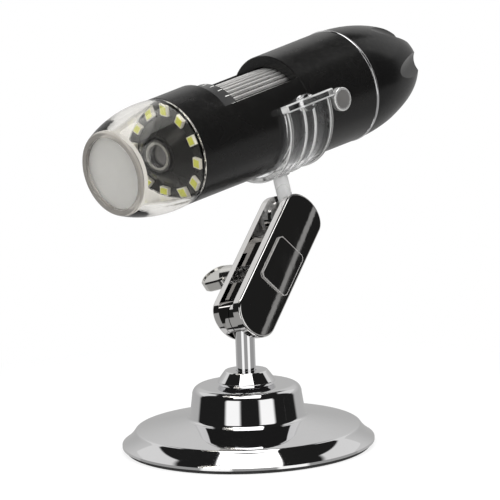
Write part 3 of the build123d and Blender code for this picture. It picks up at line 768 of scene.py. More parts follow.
class FinishBook:
    """Every finish by the name of its slot in the record."""

    def __init__(self, groups: GroupMaker, frames: Frames) -> None:
        """Builds the materials.

        Args:
            groups: the shared node groups.
            frames: the frames that turned marks follow.
        """
        finishes = self._metals(frames) + self._plastics(frames.ring(0.0)) + self._clears() + self._inner()
        self.materials = {finish.name: finish.build(groups) for finish in finishes}

    def __getitem__(self, name: str) -> bpy.types.Material:
        """The material of one slot."""
        return self.materials[name]

    @staticmethod
    def _metals(frames: Frames) -> list[Finish]:
        """Finishes of the metal pieces.

        Args:
            frames: the frames of the pieces.

        Returns:
            The finishes.
        """
        barrel = frames.ring(0.0)
        screw = frames.arm @ frames.turn(-90.0, "X")
        button = frames.button @ frames.shift(Tail.button_station, 0.0, 0.0) @ frames.turn(90.0, "X")
        return [
            Finish("chrome_shell", CHROME, None, (0.02, 0.055), 1.0, (90.0, 0.004), (3000.0, 0.0004),
                   dust=0.03),
            Finish("chrome_turned", CHROME, None, (0.02, 0.05), 1.0, turn=(2500.0, 0.0005), dust=0.02),
            Finish("chrome_cast", (0.78, 0.77, 0.76), None, (0.004, 0.02), 1.0, (140.0, 0.0007), dust=0.01),
            # painted highlight: paler, rougher, less metallic than chrome, for the saddle's rim
            Finish("saddle_rim_highlight", (0.40, 0.39, 0.38), None, (0.30, 0.38), 0.35, (900.0, 0.001)),
            Finish("chrome_nut", (0.80, 0.79, 0.76), None, (0.10, 0.16), 1.0),
            Finish("chrome_trim", (0.78, 0.78, 0.79), None, (0.04, 0.10), 1.0, turn=(5000.0, 0.0006),
                   frame=barrel),
            Finish("cast_weight", (0.20, 0.20, 0.20), (0.27, 0.25, 0.23), (0.55, 0.7), 1.0, (900.0, 0.06)),
            Finish("stud_steel", (0.62, 0.62, 0.62), None, (0.2, 0.3), 1.0, turn=(5000.0, 0.001),
                   frame=screw),
            Finish("satin_wheel", (0.88, 0.87, 0.85), None, (0.30, 0.36), 0.9, frame=barrel),
            # painted shade: the dark core that shows between the wheel's ribs
            Finish("wheel_groove_shade", (0.10, 0.10, 0.10), None, (0.35, 0.42), 0.9, frame=barrel),
            Finish("lens_trim", (0.30, 0.30, 0.29), None, (0.18, 0.28), 1.0, turn=(5000.0, 0.001),
                   frame=barrel),
            Finish("satin_button", (0.21, 0.205, 0.20), None, (0.36, 0.44), 0.6, turn=(5000.0, 0.0008),
                   dust=0.02, frame=button),
            Finish("button_rim", (0.80, 0.80, 0.79), None, (0.2, 0.26), 0.75, turn=(5000.0, 0.0004),
                   frame=button),
        ]

    @staticmethod
    def _plastics(barrel: Matrix) -> list[Finish]:
        """Finishes of the moulded pieces and the rubber.

        Args:
            barrel: a frame with Z along the optical axis.

        Returns:
            The finishes.
        """
        return [
            Finish("black_barrel", BLACK, (0.006, 0.0058, 0.0055), (0.23, 0.29), grain=(3500.0, 0.002),
                   specular=0.44, dust=0.008),
            Finish("gloss_ring", (0.03, 0.03, 0.03), None, (0.18, 0.28), turn=(5000.0, 0.001), frame=barrel),
            Finish("black_chassis", (0.025, 0.025, 0.026), None, (0.4, 0.5), grain=(2500.0, 0.01)),
            Finish("gloss_tail", BLACK, HOOD_BLACK, (0.18, 0.26), grain=(300.0, 0.002), specular=0.28,
                   dust=0.01),
            Finish("gland_rubber", (0.025, 0.025, 0.025), None, (0.6, 0.75), grain=(2500.0, 0.02), dust=0.04),
            Finish("pad_rubber", (0.022, 0.022, 0.022), None, (0.55, 0.7), grain=(1600.0, 0.02)),
            Finish("gloss_hood", HOOD_BLACK, None, (0.22, 0.3), turn=(5000.0, 0.001), specular=0.14,
                   frame=barrel),
            Finish("washer_nylon", (0.78, 0.77, 0.72), None, (0.45, 0.55), grain=(2500.0, 0.005)),
            Finish("switch_black", (0.04, 0.04, 0.04), None, (0.4, 0.5), grain=(2500.0, 0.006)),
            Finish("tick_print", (0.62, 0.62, 0.60), None, (0.45, 0.55), grain=(2500.0, 0.002)),
        ]

    @staticmethod
    def _clears() -> list[Finish]:
        """Finishes of the clear and frosted pieces.

        Returns:
            The finishes.
        """
        rows = (
            ("clear_nose", (0.80, 0.785, 0.75), (0.86, 0.845, 0.81), (0.0, 0.02), (120.0, 0.03), 1.0, 1.30),
            # painted shade: a greyer, half-clear finish on the clear nose's lip
            ("clear_lip_shade", (0.32, 0.30, 0.27), (0.40, 0.38, 0.35), (0.18, 0.26), (300.0, 0.004), 0.5, 1.40),
            ("clear_clip", (0.93, 0.93, 0.93), (0.97, 0.97, 0.97), (0.0, 0.03), (220.0, 0.006), 1.0, 1.27),
            # painted highlight: paler and less clear, for the bright edges of the clear clip
            ("clip_edge_highlight", (0.86, 0.86, 0.85), (0.92, 0.92, 0.91), (0.10, 0.16), (300.0, 0.003), 0.62, 1.5),
            # painted shade: greyer, for the darker borders of the clear clip
            ("clip_band_shade", (0.50, 0.50, 0.49), (0.58, 0.58, 0.57), (0.08, 0.14), (300.0, 0.003), 0.80, 1.4),
            ("clear_stem", (0.74, 0.74, 0.735), (0.80, 0.80, 0.795), (0.26, 0.34), (400.0, 0.006), 0.55, 1.5),
            ("frosted_window", (0.73, 0.725, 0.71), (0.77, 0.765, 0.75), (0.55, 0.65), (3000.0, 0.01),
             0.85, 1.5),
            ("lens_glass", (0.90, 0.94, 0.98), (0.96, 0.92, 1.0), (0.0, 0.02), (2500.0, 0.0), 1.0, 1.6),
        )
        return [
            Finish(name, color, tint, rough, 0.0, grain, transmission=clear, ior=ior,
                   coat=0.5 if name == "clear_lip_shade" else 0.0)
            for name, color, tint, rough, grain, clear, ior in rows
        ]

    @staticmethod
    def _inner() -> list[Finish]:
        """Finishes of the boards and what is on them.

        Returns:
            The finishes.
        """
        return [
            Finish("light_board", HOOD_BLACK, None, (0.25, 0.35), tracks=420.0,
                   track_color=(0.016, 0.016, 0.016), specular=0.12),
            Finish("led_package", (0.82, 0.80, 0.72), (0.88, 0.87, 0.80), (0.3, 0.4), grain=(2500.0, 0.004)),
            Finish("led_phosphor", (0.72, 0.76, 0.05), (0.80, 0.82, 0.14), (0.35, 0.45),
                   grain=(5000.0, 0.01)),
            Finish("green_board", (0.02, 0.12, 0.06), None, (0.25, 0.35), tracks=500.0, coat=0.3),
            Finish("sensor_glass", (0.03, 0.03, 0.05), (0.05, 0.04, 0.08), (0.05, 0.1), tracks=2500.0,
                   track_color=(0.10, 0.09, 0.05), coat=1.0),
        ]


# Pieces


@dataclass
class Assembly:
    """What every sub-assembly shares: the frames, the finishes and the CAD nodes."""

    frames: Frames
    finishes: FinishBook
    nodes: dict[str, Thing]

    def dress(self, **slots: str) -> None:
        """Gives CAD nodes their finishes.

        Args:
            slots: the finish by the node's name.
        """
        for name, slot in slots.items():
            for material_slot in self.nodes[name].material_slots:
                material_slot.material = self.finishes[slot]
            LOG.info("node %s keeps its shape, in %s", name, slot)

    def paint(
        self, piece: Thing, finishes: Sequence[str], frame: Matrix, choose: Callable[[Vector], int]
    ) -> None:
        """Gives each face of a piece one of several finishes.

        Args:
            piece: the piece.
            finishes: the finishes, from the slot's own on.
            frame: the frame that places are read in.
            choose: the finish's number for the place of a face, in millimetres.
        """
        for finish in finishes:
            piece.data.materials.append(self.finishes[finish])
        inverse = frame.inverted()
        for face in piece.data.polygons:
            face.material_index = choose(inverse @ face.center / MM)

    def settle(self, piece: Thing, body: Body, slot: str, replaces: str = "", finish: str = "") -> None:
        """Gives a new piece its finish and its body, logs its slot, and hides the CAD node that it stands
        for.

        Args:
            piece: the new piece.
            body: the body that it rides on.
            slot: its slot in the record.
            replaces: the CAD node that it stands for, where there is one.
            finish: its finish where that isn't the slot's own.
        """
        material = self.finishes[finish or slot]
        if piece.data.materials:
            piece.data.materials[0] = material
        else:
            piece.data.materials.append(material)
        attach(piece, body.value)
        if replaces:
            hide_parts(replaces)
        LOG.info("piece %s rides on %s, in %s", piece.name, body.value, slot)


def ball_line(centre: float, radius: float, first: float, last: float, skip: int = 0) -> list[Point]:
    """Part of a ball's (station, radius) line.

    Args:
        centre: the station of its centre.
        radius: its radius.
        first: the angle from the axis that the line starts at, in radians.
        last: the angle that it ends at.
        skip: how many points are left off at its start.

    Returns:
        The points.
    """
    steps = 24
    angles = [first + (last - first) * k / steps for k in range(skip, steps + 1)]
    return [(centre + radius * cos(angle), radius * sin(angle)) for angle in angles]


@dataclass
class Stand(Assembly):
    """Base shell, collar, post and what they hold."""

    rim_radius: float = 35.5
    shoulder: Point = (31.5, 5.75)
    pad_thickness: float = 1.1
    rim_lip: float = 0.7
    flare_sag: float = 0.2
    shoulder_round: float = 0.4
    shoulder_shares: Point = (0.7, 0.18)
    shoulder_crest: Point = (0.02, 0.03)
    dome_foot: Point = (17.6, 8.3)
    dome_fillet: float = 1.2
    dome_side: float = 16.2
    dome_top: float = 15.4
    dome_height: float = 17.6
    dome_round: float = 2.4
    wall: float = 1.0
    hole_radius: float = 5.05
    neck: Point = (7.9, 5.0)
    collar_height: float = 4.1
    collar_seat: float = 7.6
    collar_belt: Point = (1.1, 8.25)
    collar_cone: Point = (0.25, 6.2)
    collar_crown: float = 5.95
    post_radius: float = 2.72
    post_gap: float = 0.08
    ball_radius: float = 4.1
    foot: Point = (4.7, 1.5)
    foot_bottom: float = 6.1

    def outer_line(self, inset: float) -> list[Point]:
        """The shell's (height, radius) line from its lip to its crown.

        Args:
            inset: how far the line is drawn in.

        Returns:
            The points.
        """
        fillet, soft = self.dome_fillet, self.shoulder_round
        foot = (self.dome_foot[0] - inset, self.dome_foot[1] - inset)
        side = (self.dome_side - inset, foot[1] + fillet)
        top = self.dome_height - inset
        crest = (self.shoulder[0] - inset, self.shoulder[1] - inset)
        lip = (self.rim_radius - inset, self.pad_thickness + self.rim_lip)
        sag = ((crest[0] + lip[0]) / 2 - self.flare_sag, (crest[1] + lip[1]) / 2 - self.flare_sag)
        foot_mid = (side[0] + (foot[0] - side[0]) * NEAR_CORNER, foot[1] + (side[1] - foot[1]) * NEAR_CORNER)
        low = (self.dome_top - inset, top - self.dome_round)
        crown = (self.dome_top - self.dome_round - inset, top)
        mid = (crown[0] + (low[0] - crown[0]) * FROM_CENTRE, low[1] + (crown[1] - low[1]) * FROM_CENTRE)
        fall, lift = soft * self.shoulder_shares[0], soft * self.shoulder_shares[1]
        turn_in, turn_out = (crest[0] + fall, crest[1] - fall), (crest[0] - soft, crest[1] + lift)
        peak = (crest[0] - self.shoulder_crest[0], crest[1] - self.shoulder_crest[1])
        line = arc_points(lip, sag, turn_in) + arc_points(turn_in, peak, turn_out, 6)[1:]
        line += arc_points(foot, foot_mid, side, 8) + arc_points(low, mid, crown, 10)
        return [(height, radius) for radius, height in line]

    def make_shell(self) -> None:
        """Builds the pressed chrome shell."""
        bottom, inner_top = self.pad_thickness, self.dome_height - self.wall
        line = [(bottom, self.rim_radius)] + self.outer_line(0.0)
        line += [(self.dome_height, self.hole_radius), (inner_top, self.hole_radius)]
        line += list(reversed(self.outer_line(self.wall))) + [(bottom, self.rim_radius - self.wall)]
        piece = lathe("base_shell_chrome", line, self.frames.upright, segments=256)
        self.settle(piece, Body.BASE, "chrome_shell", "base_shell")

    def make_collar(self) -> None:
        """Builds the collar nut with softened edges."""
        low, (foot, neck) = self.dome_height, self.neck
        top, bore = low + self.collar_height, self.post_radius + self.post_gap
        corners = [
            (foot, bore, 0.0), (foot, neck, SOFT), (low, neck, 0.0), (low, self.collar_seat, CRISP),
            (low + self.collar_belt[0], self.collar_belt[1], BROAD),
            (top - self.collar_cone[0], self.collar_cone[1], SOFT), (top, self.collar_crown, EASED),
            (top, bore, CRISP),
        ]
        piece = lathe("collar_nut_chrome", rounded(corners), self.frames.upright, segments=192)
        self.settle(piece, Body.BASE, "chrome_turned", "collar_nut")

    def make_post(self) -> None:
        """Builds the post with its foot and its ball."""
        low, (radius, thick) = self.foot_bottom, self.foot
        line = [(low, 0.0), (low, radius), (low + thick, radius), (low + thick, self.post_radius)]
        first = atan2(self.post_radius, -sqrt(self.ball_radius ** 2 - self.post_radius ** 2))
        line += ball_line(self.frames.ball_height, self.ball_radius, first, 0.0)
        piece = lathe("post_chrome", line, self.frames.upright, segments=128)
        self.settle(piece, Body.POST, "chrome_turned", "post")

    def build(self) -> None:
        """Builds and dresses the stand."""
        self.make_shell()
        self.make_collar()
        self.make_post()
        self.dress(base_weight="cast_weight", base_pad="pad_rubber", friction_washer="washer_nylon")


@dataclass
class ClampArm(Assembly):
    """The two plates, their stud and the thumb nut."""

    screw_station: float = 16.4
    stud_radius: float = 2.0
    thread_pitch: float = 0.7
    thread_reach: float = 2.8
    ridge_radius: float = 0.2
    plate_face: float = 5.8
    saddle_length: float = 14.4
    saddle_width: float = 10.7
    saddle_offset: float = 0.5
    saddle_rise: float = 0.53
    saddle_depth: float = 0.8
    saddle_centre: float = 17.1
    saddle_corner: float = 0.9
    saddle_round: float = 0.2
    saddle_soft: float = 0.5
    # width of the painted highlight band round the saddle's flat face
    saddle_highlight_band: float = 0.22
    saddle_facing: float = 0.99
    thread: ThreadTree | None = None

    def make_thread(self) -> None:
        """Winds the thread round the part of the stud that shows between the plates."""
        assert self.thread is not None
        length = 2 * self.thread_reach
        start = self.frames.shift(0.0, -self.thread_reach, self.screw_station)
        frame = self.frames.arm @ start @ self.frames.turn(-90.0, "X")
        values = {
            "Turns": length / self.thread_pitch, "Length": length * MM,
            "Thread Radius": self.stud_radius * MM, "Ridge Radius": self.ridge_radius * MM,
            "Material": self.finishes["stud_steel"],
        }
        self.settle(self.thread.make("stud_thread", values, frame), Body.ARM, "stud_steel")

    def make_saddle(self) -> None:
        """Builds the front plate's raised panel with a soft edge, whose rim and a thin band round its face
        get a paler, less metallic finish as a painted highlight all round.
        """
        cut, soft = self.saddle_corner, self.saddle_round
        left, right = self.saddle_offset - self.saddle_width / 2, self.saddle_offset + self.saddle_width / 2
        low, high = self.saddle_centre - self.saddle_length / 2, self.saddle_centre + self.saddle_length / 2
        corners = [
            (left + cut, low, soft), (right - cut, low, soft),
            (right, low + cut, soft), (right, high - cut, soft),
            (right - cut, high, soft), (left + cut, high, soft),
            (left, high - cut, soft), (left, low + cut, soft),
        ]
        frame = self.frames.arm @ self.frames.turn(-90.0, "Z")
        start, end = self.plate_face - self.saddle_depth, self.plate_face + self.saddle_rise
        panel = prism("saddle_panel", rounded(corners, steps=3), start, end, frame, self.saddle_soft, steps=6)
        # painted highlight: the rim and a thin band round the flat face get a paler, less metallic finish
        # than the chrome
        for finish in ("chrome_cast", "saddle_rim_highlight"):
            panel.data.materials.append(self.finishes[finish])
        outwards = frame.to_3x3().col[0]
        mesh = bmesh.new()
        mesh.from_mesh(panel.data)
        front = [face for face in mesh.faces if face.normal.dot(outwards) > self.saddle_facing]
        flat = max(front, key=bmesh.types.BMFace.calc_area)
        bmesh.ops.inset_region(mesh, faces=[flat], thickness=self.saddle_highlight_band * MM, use_even_offset=True)
        for face in mesh.faces:
            face.material_index = int(face != flat)
        mesh.to_mesh(panel.data)
        mesh.free()
        self.settle(panel, Body.ARM, "chrome_cast")

    def build(self) -> None:
        """Builds and dresses the arm."""
        self.dress(clamp_plate_front="chrome_cast", clamp_plate_back="chrome_cast")
        self.dress(clamp_stud="stud_steel", nut_washer="stud_steel", thumb_nut="chrome_nut")
        self.make_saddle()
        self.make_thread()


@dataclass
class ClearClip(Assembly):
    """The clear stem and the clear cradle."""

    ball_radius: float = 4.1
    stem_radius: float = 2.14
    stem_reach: float = 13.05
    stem_gap: float = 0.08
    front: float = 51.44
    length: float = 17.58
    bore: float = 16.42
    wall: float = 1.2
    half_angle: float = 94.0
    border_width: float = 1.2
    border_round: float = 0.3
    foot_round: float = 0.15
    rib_stations: Point = (58.01, 61.85)
    rib_width: float = 0.8
    rib_round: float = 0.22
    rib_height: float = 0.5
    bright_line: Point = (0.26, 0.28)
    border_reach: float = 0.1
    rib_flank: float = 0.15
    end_face: float = 0.05
    lip_angle: float = 7.0
    lip_height: float = 3.03
    lip_overhangs: Point = (0.4, 0.9)
    lip_rounds: Point = (0.5, 0.35)
    short_side: float = 0.3
    tab_radius: float = 2.43
    tab_rise: float = 1.2
    tab_round: float = 0.4
    tab_gap: float = 0.05
    boss_radius: float = 2.95
    boss_height: float = 0.7

    def spoke(self, angle: float) -> Matrix:
        """Frame on the optical axis at the stem, whose X axis points out at an angle from +Z.

        Args:
            angle: the angle in degrees.

        Returns:
            The frame.
        """
        frames = self.frames
        along = frames.shift(frames.stem_station, 0.0, 0.0)
        return frames.cradle @ along @ frames.turn(-angle, "X") @ frames.turn(-90.0, "Y")

    def make_stem(self) -> None:
        """Builds the frosted stem with its ball."""
        last = atan2(self.stem_radius, sqrt(self.ball_radius ** 2 - self.stem_radius ** 2))
        line = [(-self.ball_radius, 0.0)] + ball_line(0.0, self.ball_radius, pi, last, 1)
        line += [(self.stem_reach, self.stem_radius), (self.stem_reach, 0.0)]
        frame = self.frames.stem @ self.frames.upright
        piece = lathe("stem_clear", line, frame, segments=96)
        self.settle(piece, Body.STEM, "clear_stem", "ball_stem")

    def make_ring(self) -> None:
        """Builds the clip's open ring with its two borders and two ribs."""
        outer = self.bore + self.wall
        crest, rear = outer + self.rib_height, self.front + self.length
        inner_front, inner_rear = self.front + self.border_width, rear - self.border_width
        edge, foot, soft = self.border_round, self.foot_round, self.rib_round
        corners: list[Corner] = [(self.front, self.bore, foot), (self.front, crest, edge)]
        corners += [(inner_front, crest, edge), (inner_front, outer, foot)]
        for middle in self.rib_stations:
            low, high = middle - self.rib_width / 2, middle + self.rib_width / 2
            corners += [(low, outer, foot), (low, crest, soft), (high, crest, soft), (high, outer, foot)]
        corners += [(inner_rear, outer, foot), (inner_rear, crest, edge)]
        corners += [(rear, crest, edge), (rear, self.bore, foot)]
        first, reach = 180.0 - self.half_angle, self.half_angle * 2
        line = rounded(corners, steps=4)
        ring = lathe("clip_ring", line, self.frames.cradle, segments=120, reach=reach, first=first)

        def choose(spot: Vector) -> int:
            """Picks a paler, less clear finish as painted highlight on rims and ribs, a greyer one as painted
            shade on each border, and clear plastic elsewhere.

            Args:
                spot: the middle of a face.

            Returns:
                The finish's number.
            """
            height, inward = spot.yz.length, min(spot.x - self.front, rear - spot.x)
            if inward > self.border_width + self.border_reach:
                return int(height > outer + self.rib_flank)
            rim = min(inward, abs(self.border_width - inward)) < self.bright_line[0]
            if rim and height > crest - self.bright_line[1]:
                return 1
            return 2 if height > outer or inward < self.end_face else 0

        # painted highlight on the rims and rib tops, painted shade on the borders and end faces
        self.paint(ring, ("clear_clip", "clip_edge_highlight", "clip_band_shade"), self.frames.cradle, choose)
        self.settle(ring, Body.CLIP, "clear_clip", "cradle")

    def make_lip(self, side: int) -> None:
        """Builds the thick bar along one end of the ring, with a painted highlight on its narrow rounded
        faces, and its thumb tab.

        Args:
            side: 1 for one end and -1 for the other.
        """
        name = "near" if side > 0 else "far"
        top, soft, edge = self.bore + self.lip_height, *self.lip_rounds
        inner, outer = self.half_angle, self.half_angle + self.lip_angle
        low, high = radians(180.0 + side * inner), radians(180.0 + side * outer)
        spots = ((low, self.bore, 0.0), (low, top, soft), (high, top, soft), (high, self.bore, 0.0))
        corners = [(radius * sin(angle), radius * cos(angle), cut) for angle, radius, cut in spots]
        start, end = self.front - self.lip_overhangs[0], self.front + self.length + self.lip_overhangs[1]
        bar = prism(f"clip_lip_{name}", rounded(corners, steps=4), start, end, self.frames.cradle, edge)
        for finish in ("clear_clip", "clip_edge_highlight"):
            bar.data.materials.append(self.finishes[finish])
        # painted highlight: the narrow faces of the rounded edges get the paler, less clear finish
        for face in bar.data.polygons:
            ends = [bar.data.vertices[k].co for k in face.vertices]
            shortest = min((a - b).length for a, b in zip(ends, ends[1:] + ends[:1]))
            face.material_index = int(shortest < self.short_side * MM)
        self.settle(bar, Body.CLIP, "clear_clip")
        rise = (self.tab_radius - self.tab_rise) / (self.bore + self.wall)
        spoke = self.spoke(180.0 + side * outer - side * rise * 180.0 / pi)
        foot, radius = self.bore + self.tab_gap, self.tab_radius
        corners = [(foot, 0.0, 0.0), (foot, radius, 0.0), (top, radius, self.tab_round), (top, 0.0, 0.0)]
        tab = lathe(f"clip_tab_{name}", rounded(corners, steps=4), spoke, segments=64)
        self.settle(tab, Body.CLIP, "clear_clip")

    def make_boss(self) -> None:
        """Builds the round boss that the stem goes into."""
        foot, top = self.bore + self.wall / 2, self.bore + self.wall + self.boss_height
        hole, radius = self.stem_radius + self.stem_gap, self.boss_radius
        corners = [(foot, hole, 0.0), (foot, radius, 0.0), (top, radius, BROAD), (top, hole, CRISP)]
        boss = lathe("clip_boss", rounded(corners, steps=4), self.spoke(180.0), segments=64)
        self.settle(boss, Body.CLIP, "clear_clip")

    def build(self) -> None:
        """Builds and dresses the clip."""
        self.make_stem()
        self.make_ring()
        self.make_lip(1)
        self.make_lip(-1)
        self.make_boss()


@dataclass
class Nose(Assembly):
    """Clear nose, front window, light ring, hood and the lens behind them."""

    length: float = 20.97
    lip_radius: float = 11.57
    lip_round: float = 0.45
    lip_start: float = 0.75
    lip_flank: float = 0.3
    mid: Point = (7.07, 14.3)
    base_radius: float = 15.28
    spigot_radius: float = 14.2
    spigot_end: float = 24.71
    cavity: float = 13.5
    cavity_mid: Point = (10.11, 12.6)
    cavity_front: Point = (3.2, 10.61)
    mouth: float = 10.21
    mouth_reach: float = 4.0
    ledge: Point = (2.6, 9.76)
    window_front: float = 1.2
    window_back: float = 2.0
    window_gap: float = 0.05
    board_front: float = 20.72
    led_circle: float = 11.7
    led_size: float = 2.65
    led_height: float = 1.0
    face_share: float = 0.76
    face_height: float = 0.12
    led_count: int = 12
    led_first: float = 10.0
    hood: Point = (10.1, 5.96)
    hood_bore: float = 5.26
    hood_length: float = 3.13
    hood_round: float = 0.3
    boxes: RingTree | None = None

    def make_shroud(self) -> None:
        """Builds the clear nose with a rounded lip."""
        start = (self.lip_start, self.lip_radius + self.lip_round)
        outer = arc_points(start, self.mid, (self.length, self.base_radius), steps=26)
        corners = [(0.0, self.mouth, SOFT), (0.0, self.lip_radius, self.lip_round), (*outer[0], 0.0)]
        line = rounded([*corners, (self.mouth_reach, self.mouth, 0.0)], steps=4)[:-2] + outer
        line += [
            (self.length, self.spigot_radius), (self.spigot_end, self.spigot_radius),
            (self.spigot_end, self.cavity), (self.length, self.cavity),
            self.cavity_mid, self.cavity_front, self.ledge,
            (self.window_back, self.ledge[1]), (self.window_back, self.mouth),
        ]
        piece = lathe("nose_clear", line, self.frames.head, segments=192)
        limit = self.lip_radius + self.lip_flank

        def choose(spot: Vector) -> int:
            """Picks the greyer, less clear finish near the mouth, as painted shade on the lip."""
            return int(spot.x < self.window_back and spot.yz.length < limit)

        # painted shade on the lip near the mouth
        self.paint(piece, ("clear_nose", "clear_lip_shade"), self.frames.head, choose)
        self.settle(piece, Body.MICROSCOPE, "clear_nose", "nose_shroud")

    def make_window(self) -> None:
        """Builds the frosted window with a softened rim."""
        front, back, rim = self.window_front, self.window_back, self.mouth - self.window_gap
        corners = [(front, 0.0, 0.0), (front, rim, EASED), (back, rim, CRISP), (back, 0.0, 0.0)]
        piece = lathe("window_frosted", rounded(corners, steps=3), self.frames.head, segments=128)
        self.settle(piece, Body.MICROSCOPE, "frosted_window", "front_window")

    def make_lights(self) -> None:
        """Sets the lights round the board, each a pale package with a phosphor face."""
        assert self.boxes is not None
        height, skin = self.led_height, self.face_height
        for name, finish, side, thick, proud, replaced in (
            ("led_packages", "led_package", self.led_size, height, height / 2, "leds"),
            ("led_faces", "led_phosphor", self.led_size * self.face_share, skin, height + skin / 2, ""),
        ):
            frame, material = self.frames.ring(self.board_front - proud), self.finishes[finish]
            piece = self.boxes.repeat(
                name, self.led_count, self.led_circle, (side, side, thick), material, frame, self.led_first
            )
            self.settle(piece, Body.MICROSCOPE, "led_package", replaced, finish)

    def make_hood(self) -> None:
        """Builds the black hood round the lens tube."""
        back, bore, (wide, narrow) = self.board_front, self.hood_bore, self.hood
        front = back - self.hood_length
        soft = self.hood_round
        corners = [(back, bore, 0.0), (back, wide, 0.0), (front, narrow, soft), (front, bore, CRISP)]
        piece = lathe("hood_black", rounded(corners, steps=4), self.frames.head, segments=96)
        self.settle(piece, Body.MICROSCOPE, "gloss_hood", "lens_hood")

    def build(self) -> None:
        """Builds and dresses the nose."""
        self.make_shroud()
        self.make_window()
        self.make_lights()
        self.make_hood()
        self.dress(led_board="light_board", lens_carrier="black_chassis", drive_pin="stud_steel")
        self.dress(lens_ring="lens_trim", front_lens="lens_glass", rear_lens="lens_glass")


@dataclass
class Barrel(Assembly):
    """Front barrel, scale ring, chassis and focus wheel."""

    wheel_start: float = 40.27
    wheel_length: float = 26.48
    wheel_bore: float = 11.1
    wheel_core: float = 12.21
    rib_count: int = 48
    rib_sink: float = 0.08
    rib_size: Point = (1.0, 1.2)
    rib_gap: float = 0.1
    tick_count: int = 30
    tick_size: tuple[float, float, float] = (0.06, 0.22, 1.6)
    tick_sink: float = 0.01
    tick_margin: float = 0.3
    scale_radius: float = 14.3
    scale_end: float = 40.02
    boxes: RingTree | None = None
    bars: RingTree | None = None

    def make_wheel(self) -> None:
        """Builds the ribbed focus wheel, whose core between the ribs is dark as painted shade in the grooves.
        """
        assert self.bars is not None
        start, bore, core = self.wheel_start, self.wheel_bore, self.wheel_core
        end = start + self.wheel_length
        corners = [(start, bore, CRISP), (start, core, SOFT), (end, core, SOFT), (end, bore, CRISP)]
        piece = lathe("wheel_core", rounded(corners, steps=3), self.frames.head, segments=144)
        # painted shade: the core between the ribs is dark
        self.settle(piece, Body.WHEEL, "satin_wheel", "focus_wheel", "wheel_groove_shade")
        size = (*self.rib_size, self.wheel_length - self.rib_gap)
        frame, material = self.frames.ring(start + self.wheel_length / 2), self.finishes["satin_wheel"]
        ribs = self.bars.repeat("wheel_ribs", self.rib_count, core - self.rib_sink, size, material, frame)
        self.settle(ribs, Body.WHEEL, "satin_wheel")

    def make_ticks(self) -> None:
        """Sets plain tick marks round the scale ring."""
        assert self.boxes is not None
        frame = self.frames.ring(self.scale_end - self.tick_size[2] / 2 - self.tick_margin)
        radius, material = self.scale_radius - self.tick_sink, self.finishes["tick_print"]
        ticks = self.boxes.repeat("scale_ticks", self.tick_count, radius, self.tick_size, material, frame)
        self.settle(ticks, Body.MICROSCOPE, "gloss_ring", finish="tick_print")

    def build(self) -> None:
        """Builds and dresses the barrel."""
        self.dress(front_barrel="black_barrel", scale_ring="gloss_ring", chassis_tube="black_chassis")
        self.make_wheel()
        self.make_ticks()


@dataclass
class Tail(Assembly):
    """Rear shell, snapshot button, trim ring, tail cap, gland and boards."""

    button_station: float = 74.18
    button_radius: float = 3.39
    button_top: float = 17.77
    button_bottom: float = 13.62
    button_round: float = 0.42
    dish_insets: Point = (0.75, 0.9)
    dish_depth: float = 0.12
    dish_round: float = 0.12
    rim_width: float = 0.7
    flange: Point = (3.99, 0.5)
    trim_stations: Point = (89.13, 90.23)
    trim_radius: float = 16.8
    trim_bore: float = 15.02
    trim_round: float = 0.5

    def make_button(self) -> None:
        """Builds the button with a polished rounded rim and a sunk satin top."""
        top, low, radius = self.button_top, self.button_bottom, self.button_radius
        (wide, thick), (outer, inner), dish = self.flange, self.dish_insets, top - self.dish_depth
        corners = [
            (low, 0.0, 0.0), (low, wide, CRISP), (low + thick, wide, CRISP), (low + thick, radius, 0.0),
            (top, radius, self.button_round), (top, radius - outer, self.dish_round),
            (dish, radius - inner, CRISP), (dish, 0.0, 0.0),
        ]
        place = self.frames.shift(self.button_station, 0.0, 0.0)
        frame = self.frames.button @ place @ self.frames.turn(-90.0, "Z")
        piece = lathe("button_cap", rounded(corners), frame, segments=96)

        def choose(spot: Vector) -> int:
            """Picks the polished finish on the rim."""
            return int(spot.yz.length > radius - self.rim_width)

        self.paint(piece, ("satin_button", "button_rim"), frame, choose)
        self.settle(piece, Body.BUTTON, "satin_button", "snap_button")

    def make_trim(self) -> None:
        """Builds the chrome ring with a full round, which shines all the way along."""
        (start, end), bore, radius = self.trim_stations, self.trim_bore, self.trim_radius
        soft = self.trim_round
        corners = [(start, bore, 0.0), (start, radius, soft), (end, radius, soft), (end, bore, 0.0)]
        piece = lathe("trim_ring_chrome", rounded(corners, steps=6), self.frames.head, segments=192)
        self.settle(piece, Body.MICROSCOPE, "chrome_trim", "trim_ring")

    def build(self) -> None:
        """Builds and dresses the tail."""
        self.make_button()
        self.make_trim()
        self.dress(rear_shell="black_barrel", tail_cap="gloss_tail", cable_gland="gland_rubber")
        self.dress(snap_board="green_board", snap_switch="switch_black", sensor_board="green_board")
        self.dress(image_sensor="sensor_glass", main_board="green_board")


# Stage


